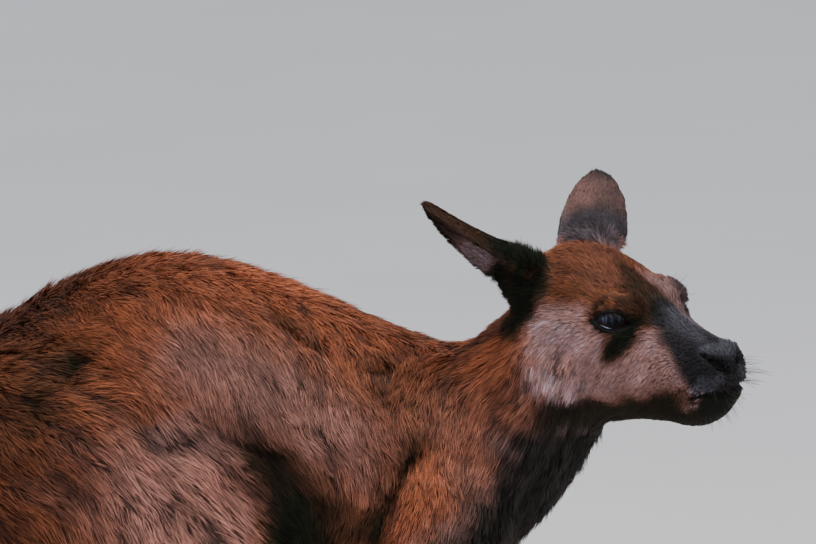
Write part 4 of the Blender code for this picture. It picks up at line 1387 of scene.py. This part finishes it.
coatColours = {
    "rufous": colour(143, 75, 42),
    "orange": colour(148, 80, 42),
    "grey": colour(178, 131, 122),
    "pale": colour(195, 181, 196),
    # black: the dark fur's colour, tinted olive as a painted reflection of green bounce light
    "black": colour(22, 26, 14),
    "slate": colour(46, 43, 46),
    # bluish grey, a painted sheen on dark fur where pale and grey lie over dark
    "sheenOnDark": colour(104, 103, 116),
    # pale pink tips: partly the hair's own paler tips, partly a painted highlight
    "tip": colour(186, 138, 130),
    "earSkin": colour(150, 128, 112),
    "bareSkin": colour(14, 11, 11),
}
coatTones = {  # darkest and lightest, over patches, clumps, strands and a strand's height
    "patches": (0.82, 1.14),
    "clumps": (0.28, 1.44),
    "strands": (0.55, 1.42),
    "height": (0.36, 1.12),
    "patchSize": 34.0,
    "tipShare": 0.25,
    "rough": 0.62,
    "skinGrain": 420.0,
}


def coatColourGroup():
    # the coat's colour from the markings, a strand's height and its chance values
    tree = bpy.data.node_groups.new("coatColour", "ShaderNodeTree")
    tree.interface.new_socket(name="Marks", in_out="INPUT", socket_type="NodeSocketColor")
    for name in ("Pale", "Height", "Clump", "Strand"):
        tree.interface.new_socket(name=name, in_out="INPUT", socket_type="NodeSocketFloat")
    tree.interface.new_socket(name="Color", in_out="OUTPUT", socket_type="NodeSocketColor")
    entry = tree.nodes.new("NodeGroupInput").outputs
    leave = tree.nodes.new("NodeGroupOutput")
    dark, orange, grey = list(threeOf(tree, entry["Marks"]))[:3]
    pale, height = entry["Pale"], entry["Height"]
    shade = mixColour(tree, grey, coatColours["rufous"], coatColours["grey"])
    shade = mixColour(tree, orange, shade, coatColours["orange"])
    shade = mixColour(tree, pale, shade, coatColours["pale"])
    # towards the tips the hair turns pale pink, partly its own paler tips and partly a painted highlight
    tipShare = mapValue(tree, height, 0.5, 1.0, 0.0, coatTones["tipShare"])
    tipShare = multiply(tree, tipShare, mapValue(tree, grey, 0.0, 0.5, 0.35, 1.0))
    shade = mixColour(tree, tipShare, shade, coatColours["tip"])
    deepest = mixColour(tree, grey, coatColours["black"], coatColours["slate"])
    # a painted sheen over the darkest fur, as far as pale and grey are marked together
    deepest = mixColour(tree, multiply(tree, pale, grey), deepest, coatColours["sheenOnDark"])
    shade = mixColour(tree, dark, shade, deepest)
    total = mapValue(tree, noiseOf(tree, coatTones["patchSize"], 4.0), 0.3, 0.7, *coatTones["patches"])
    total = multiply(tree, total, mapValue(tree, entry["Clump"], 0.18, 0.88, *coatTones["clumps"]))
    total = multiply(tree, total, mapValue(tree, entry["Strand"], 0.0, 1.0, *coatTones["strands"]))
    # darker towards the root: the hair's darker base and painted shade deep in the coat
    total = multiply(tree, total, mapValue(tree, height, 0.0, 1.0, *coatTones["height"]))
    tone = addNode(tree, "ShaderNodeCombineColor", {}, {"Red": total, "Green": total, "Blue": total})["Color"]
    feed(tree, leave, {"Color": mixColour(tree, 1.0, shade, tone, "MULTIPLY")})
    return tree


coatGroup = coatColourGroup()


def furMaterial(name, isSkin):
    material, tree, shader = newMaterial(name)
    marksRead = fieldOf(tree, "marks")
    given = {"Marks": marksRead["Color"], "Pale": marksRead["Alpha"]}
    if isSkin:
        # the skin takes the coat's dark root tone, painted shade under the strands
        given.update({"Height": 0.1, "Clump": 0.4, "Strand": 0.4})
    else:
        given.update(zip(("Height", "Clump", "Strand"), threeOf(tree, fieldOf(tree, "strand")["Color"])))
    shade = addNode(tree, "ShaderNodeGroup", {"node_tree": coatGroup}, given)["Color"]
    shine = mapValue(tree, threeOf(tree, marksRead["Color"])["Red"], 0.2, 1.0, 0.26, 0.1)
    if isSkin:
        bareRead = threeOf(tree, fieldOf(tree, "bare")["Color"])
        shade = mixColour(tree, bareRead["Green"], shade, coatColours["earSkin"])
        shade = mixColour(tree, bareRead["Red"], shade, coatColours["bareSkin"])
        grain = noiseOf(tree, coatTones["skinGrain"], 5.0)
        feed(tree, shader, {"Normal": bumpOf(tree, grain, 0.5, 0.0015)})
    feed(tree, shader, {"Base Color": shade, "Specular IOR Level": shine, "Roughness": coatTones["rough"]})
    return material


eyeLook = {  # colours, and the pupil's and the iris's edges in degrees
    "pupil": colour(6, 5, 6),
    "iris": (colour(10, 7, 6), colour(34, 22, 17)),
    "rim": colour(16, 12, 12),
    # the colour of the painted reflection
    "paintedReflection": colour(84, 88, 114),
    "pupilEdge": (18.0, 24.0),
    "irisEdge": (50.0, 58.0),
}


def eyeMaterial():
    material, tree, shader = newMaterial("eyeFinish")
    angle = fieldOf(tree, "fromPupil")["Fac"]
    iris = mixColour(tree, noiseOf(tree, 900.0, 4.0), *eyeLook["iris"])
    shade = mixColour(tree, mapValue(tree, angle, *eyeLook["pupilEdge"]), eyeLook["pupil"], iris)
    shade = mixColour(tree, mapValue(tree, angle, *eyeLook["irisEdge"]), shade, eyeLook["rim"])
    # a painted reflection above and behind the middle: bluish grey streaks standing in for the mirrored
    # lashes and sky
    place = fieldOf(tree, "eyePlace")["Vector"]
    placed = addNode(tree, "ShaderNodeSeparateXYZ", {}, {"Vector": place})
    stretched = addNode(tree, "ShaderNodeMapping", {}, {"Vector": place, "Scale": (9.0, 1.2, 1.0)})["Vector"]
    streak = mapValue(tree, noiseOf(tree, 1.6, 3.0, stretched), 0.42, 0.64, 0.06, 1.0)
    above = mapValue(tree, placed["Y"], -0.12, 0.3)
    behind = mapValue(tree, placed["X"], 0.55, -0.1)
    shade = mixColour(tree, multiply(tree, multiply(tree, above, behind), streak), shade, eyeLook["paintedReflection"])
    feed(tree, shader, {
        "Base Color": shade,
        "Roughness": 0.1,
        "Specular IOR Level": 0.03,
        "Coat Weight": mapValue(tree, placed["X"], -0.1, 0.45, 0.12, 0.02),
        "Coat IOR": 1.4,
        "Coat Roughness": 0.03,
    })
    return material


plainFinishes = {  # two colours, roughness, grain, shine and bump
    "hairFinish": (colour(20, 16, 13), colour(44, 34, 28), 0.4, 200.0, 0.5, 0),
    "rimFinish": (colour(8, 7, 7), colour(18, 15, 14), 0.5, 300.0, 0.08, 0),
    # pale blue-grey, a painted highlight on the tear line
    "tearHighlightFinish": (colour(104, 112, 138), colour(150, 158, 184), 0.12, 300.0, 0.5, 0),
    "clawFinish": (colour(24, 20, 18), colour(60, 50, 44), 0.35, 160.0, 0.5, 0.2),
    "floorFinish": (colour(240, 238, 235), colour(230, 228, 225), 0.8, 3.0, 0.5, 0),
}


def plainMaterial(name):
    low, high, rough, size, shine, bump = plainFinishes[name]
    material, tree, shader = newMaterial(name)
    grain = noiseOf(tree, size, 3.0)
    shade = mixColour(tree, grain, low, high)
    feed(tree, shader, {"Base Color": shade, "Roughness": rough, "Specular IOR Level": shine})
    if bump:
        feed(tree, shader, {"Normal": bumpOf(tree, grain, bump, 0.0005)})
    return material


def finished(piece, finish, slotName, *replaced):
    piece.data.materials.append(finish)
    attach(piece, "root")
    if replaced:
        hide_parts(*replaced)


finished(skin, furMaterial("skinFinish", True), "coat", *fleshNames)
coatFinish, hairFinish = furMaterial("coatFinish", False), plainMaterial("hairFinish")
eyeFinish, clawFinish = eyeMaterial(), plainMaterial("clawFinish")
for piece in coatPieces:
    finished(piece, coatFinish, "coat")
for piece in hairPieces:
    finished(piece, hairFinish, "dark_coat")
finished(rims, plainMaterial("rimFinish"), "dark_coat")
finished(tearHighlights, plainMaterial("tearHighlightFinish"), "eye")
for node, eye in eyes.items():
    finished(eye, eyeFinish, "eye", node)
for node, claw in claws.items():
    finished(claw, clawFinish, "claw", node)
print("materials set")

# floor, light and camera
stageSet = {"floorSize": 90.0, "floorDrop": 0.0005, "sky": (0.86, 0.9, 1.0, 1.0), "skyStrength": 0.8}
lampSet = {
    "above": {"from": (0.55, -0.55, 2.4), "size": 1.1, "power": 50.0, "tint": (1.0, 0.96, 0.92)},
    "front": {"from": (1.7, -1.5, 1.6), "size": 1.0, "power": 10.0, "tint": (1.0, 0.96, 0.92)},
}
cameraSet = {
    "azimuth": 10.0,
    "elevation": 11.0,
    "distance": 5.96,
    "lens": 360.0,
    "aim": (-0.1726, -0.0051, 0.0235),
    "clip": (0.1, 200.0),
}
bpy.ops.mesh.primitive_plane_add(size=stageSet["floorSize"], location=(0, 0, -stageSet["floorDrop"]))
floor = bpy.context.object
floor.name = "floor"
floor.data.materials.append(plainMaterial("floorFinish"))

world = bpy.data.worlds.new("studio")
bpy.context.scene.world = world
world.use_nodes = True
sky = {"Color": stageSet["sky"], "Strength": stageSet["skyStrength"]}
feed(world.node_tree, world.node_tree.nodes["Background"], sky)

lampAim = Vector(spot("trunk_middle", (0.6, 0.5, 0.6)))
for name, look in lampSet.items():
    lamp = bpy.data.lights.new("lamp_" + name, "AREA")
    lamp.shape = "DISK"
    lamp.size = look["size"]
    lamp.energy = look["power"]
    lamp.color = look["tint"]
    holder = addObject("lamp_" + name, lamp)
    holder.location = look["from"]
    holder.rotation_euler = (lampAim - Vector(look["from"])).to_track_quat("-Z", "Y").to_euler()
    holder.visible_camera = False

azimuth, elevation = math.radians(cameraSet["azimuth"]), math.radians(cameraSet["elevation"])
level = math.cos(elevation)
outward = Vector((math.sin(azimuth) * level, -math.cos(azimuth) * level, math.sin(elevation)))
lens = bpy.data.cameras.new("camera")
lens.lens = cameraSet["lens"]
lens.sensor_width = 36.0
lens.clip_start, lens.clip_end = cameraSet["clip"]
camera = addObject("camera", lens)
camera.location = Vector(headMiddle) + Vector(cameraSet["aim"]) + outward * cameraSet["distance"]
camera.rotation_euler = outward.to_track_quat("Z", "Y").to_euler()
bpy.context.scene.camera = camera
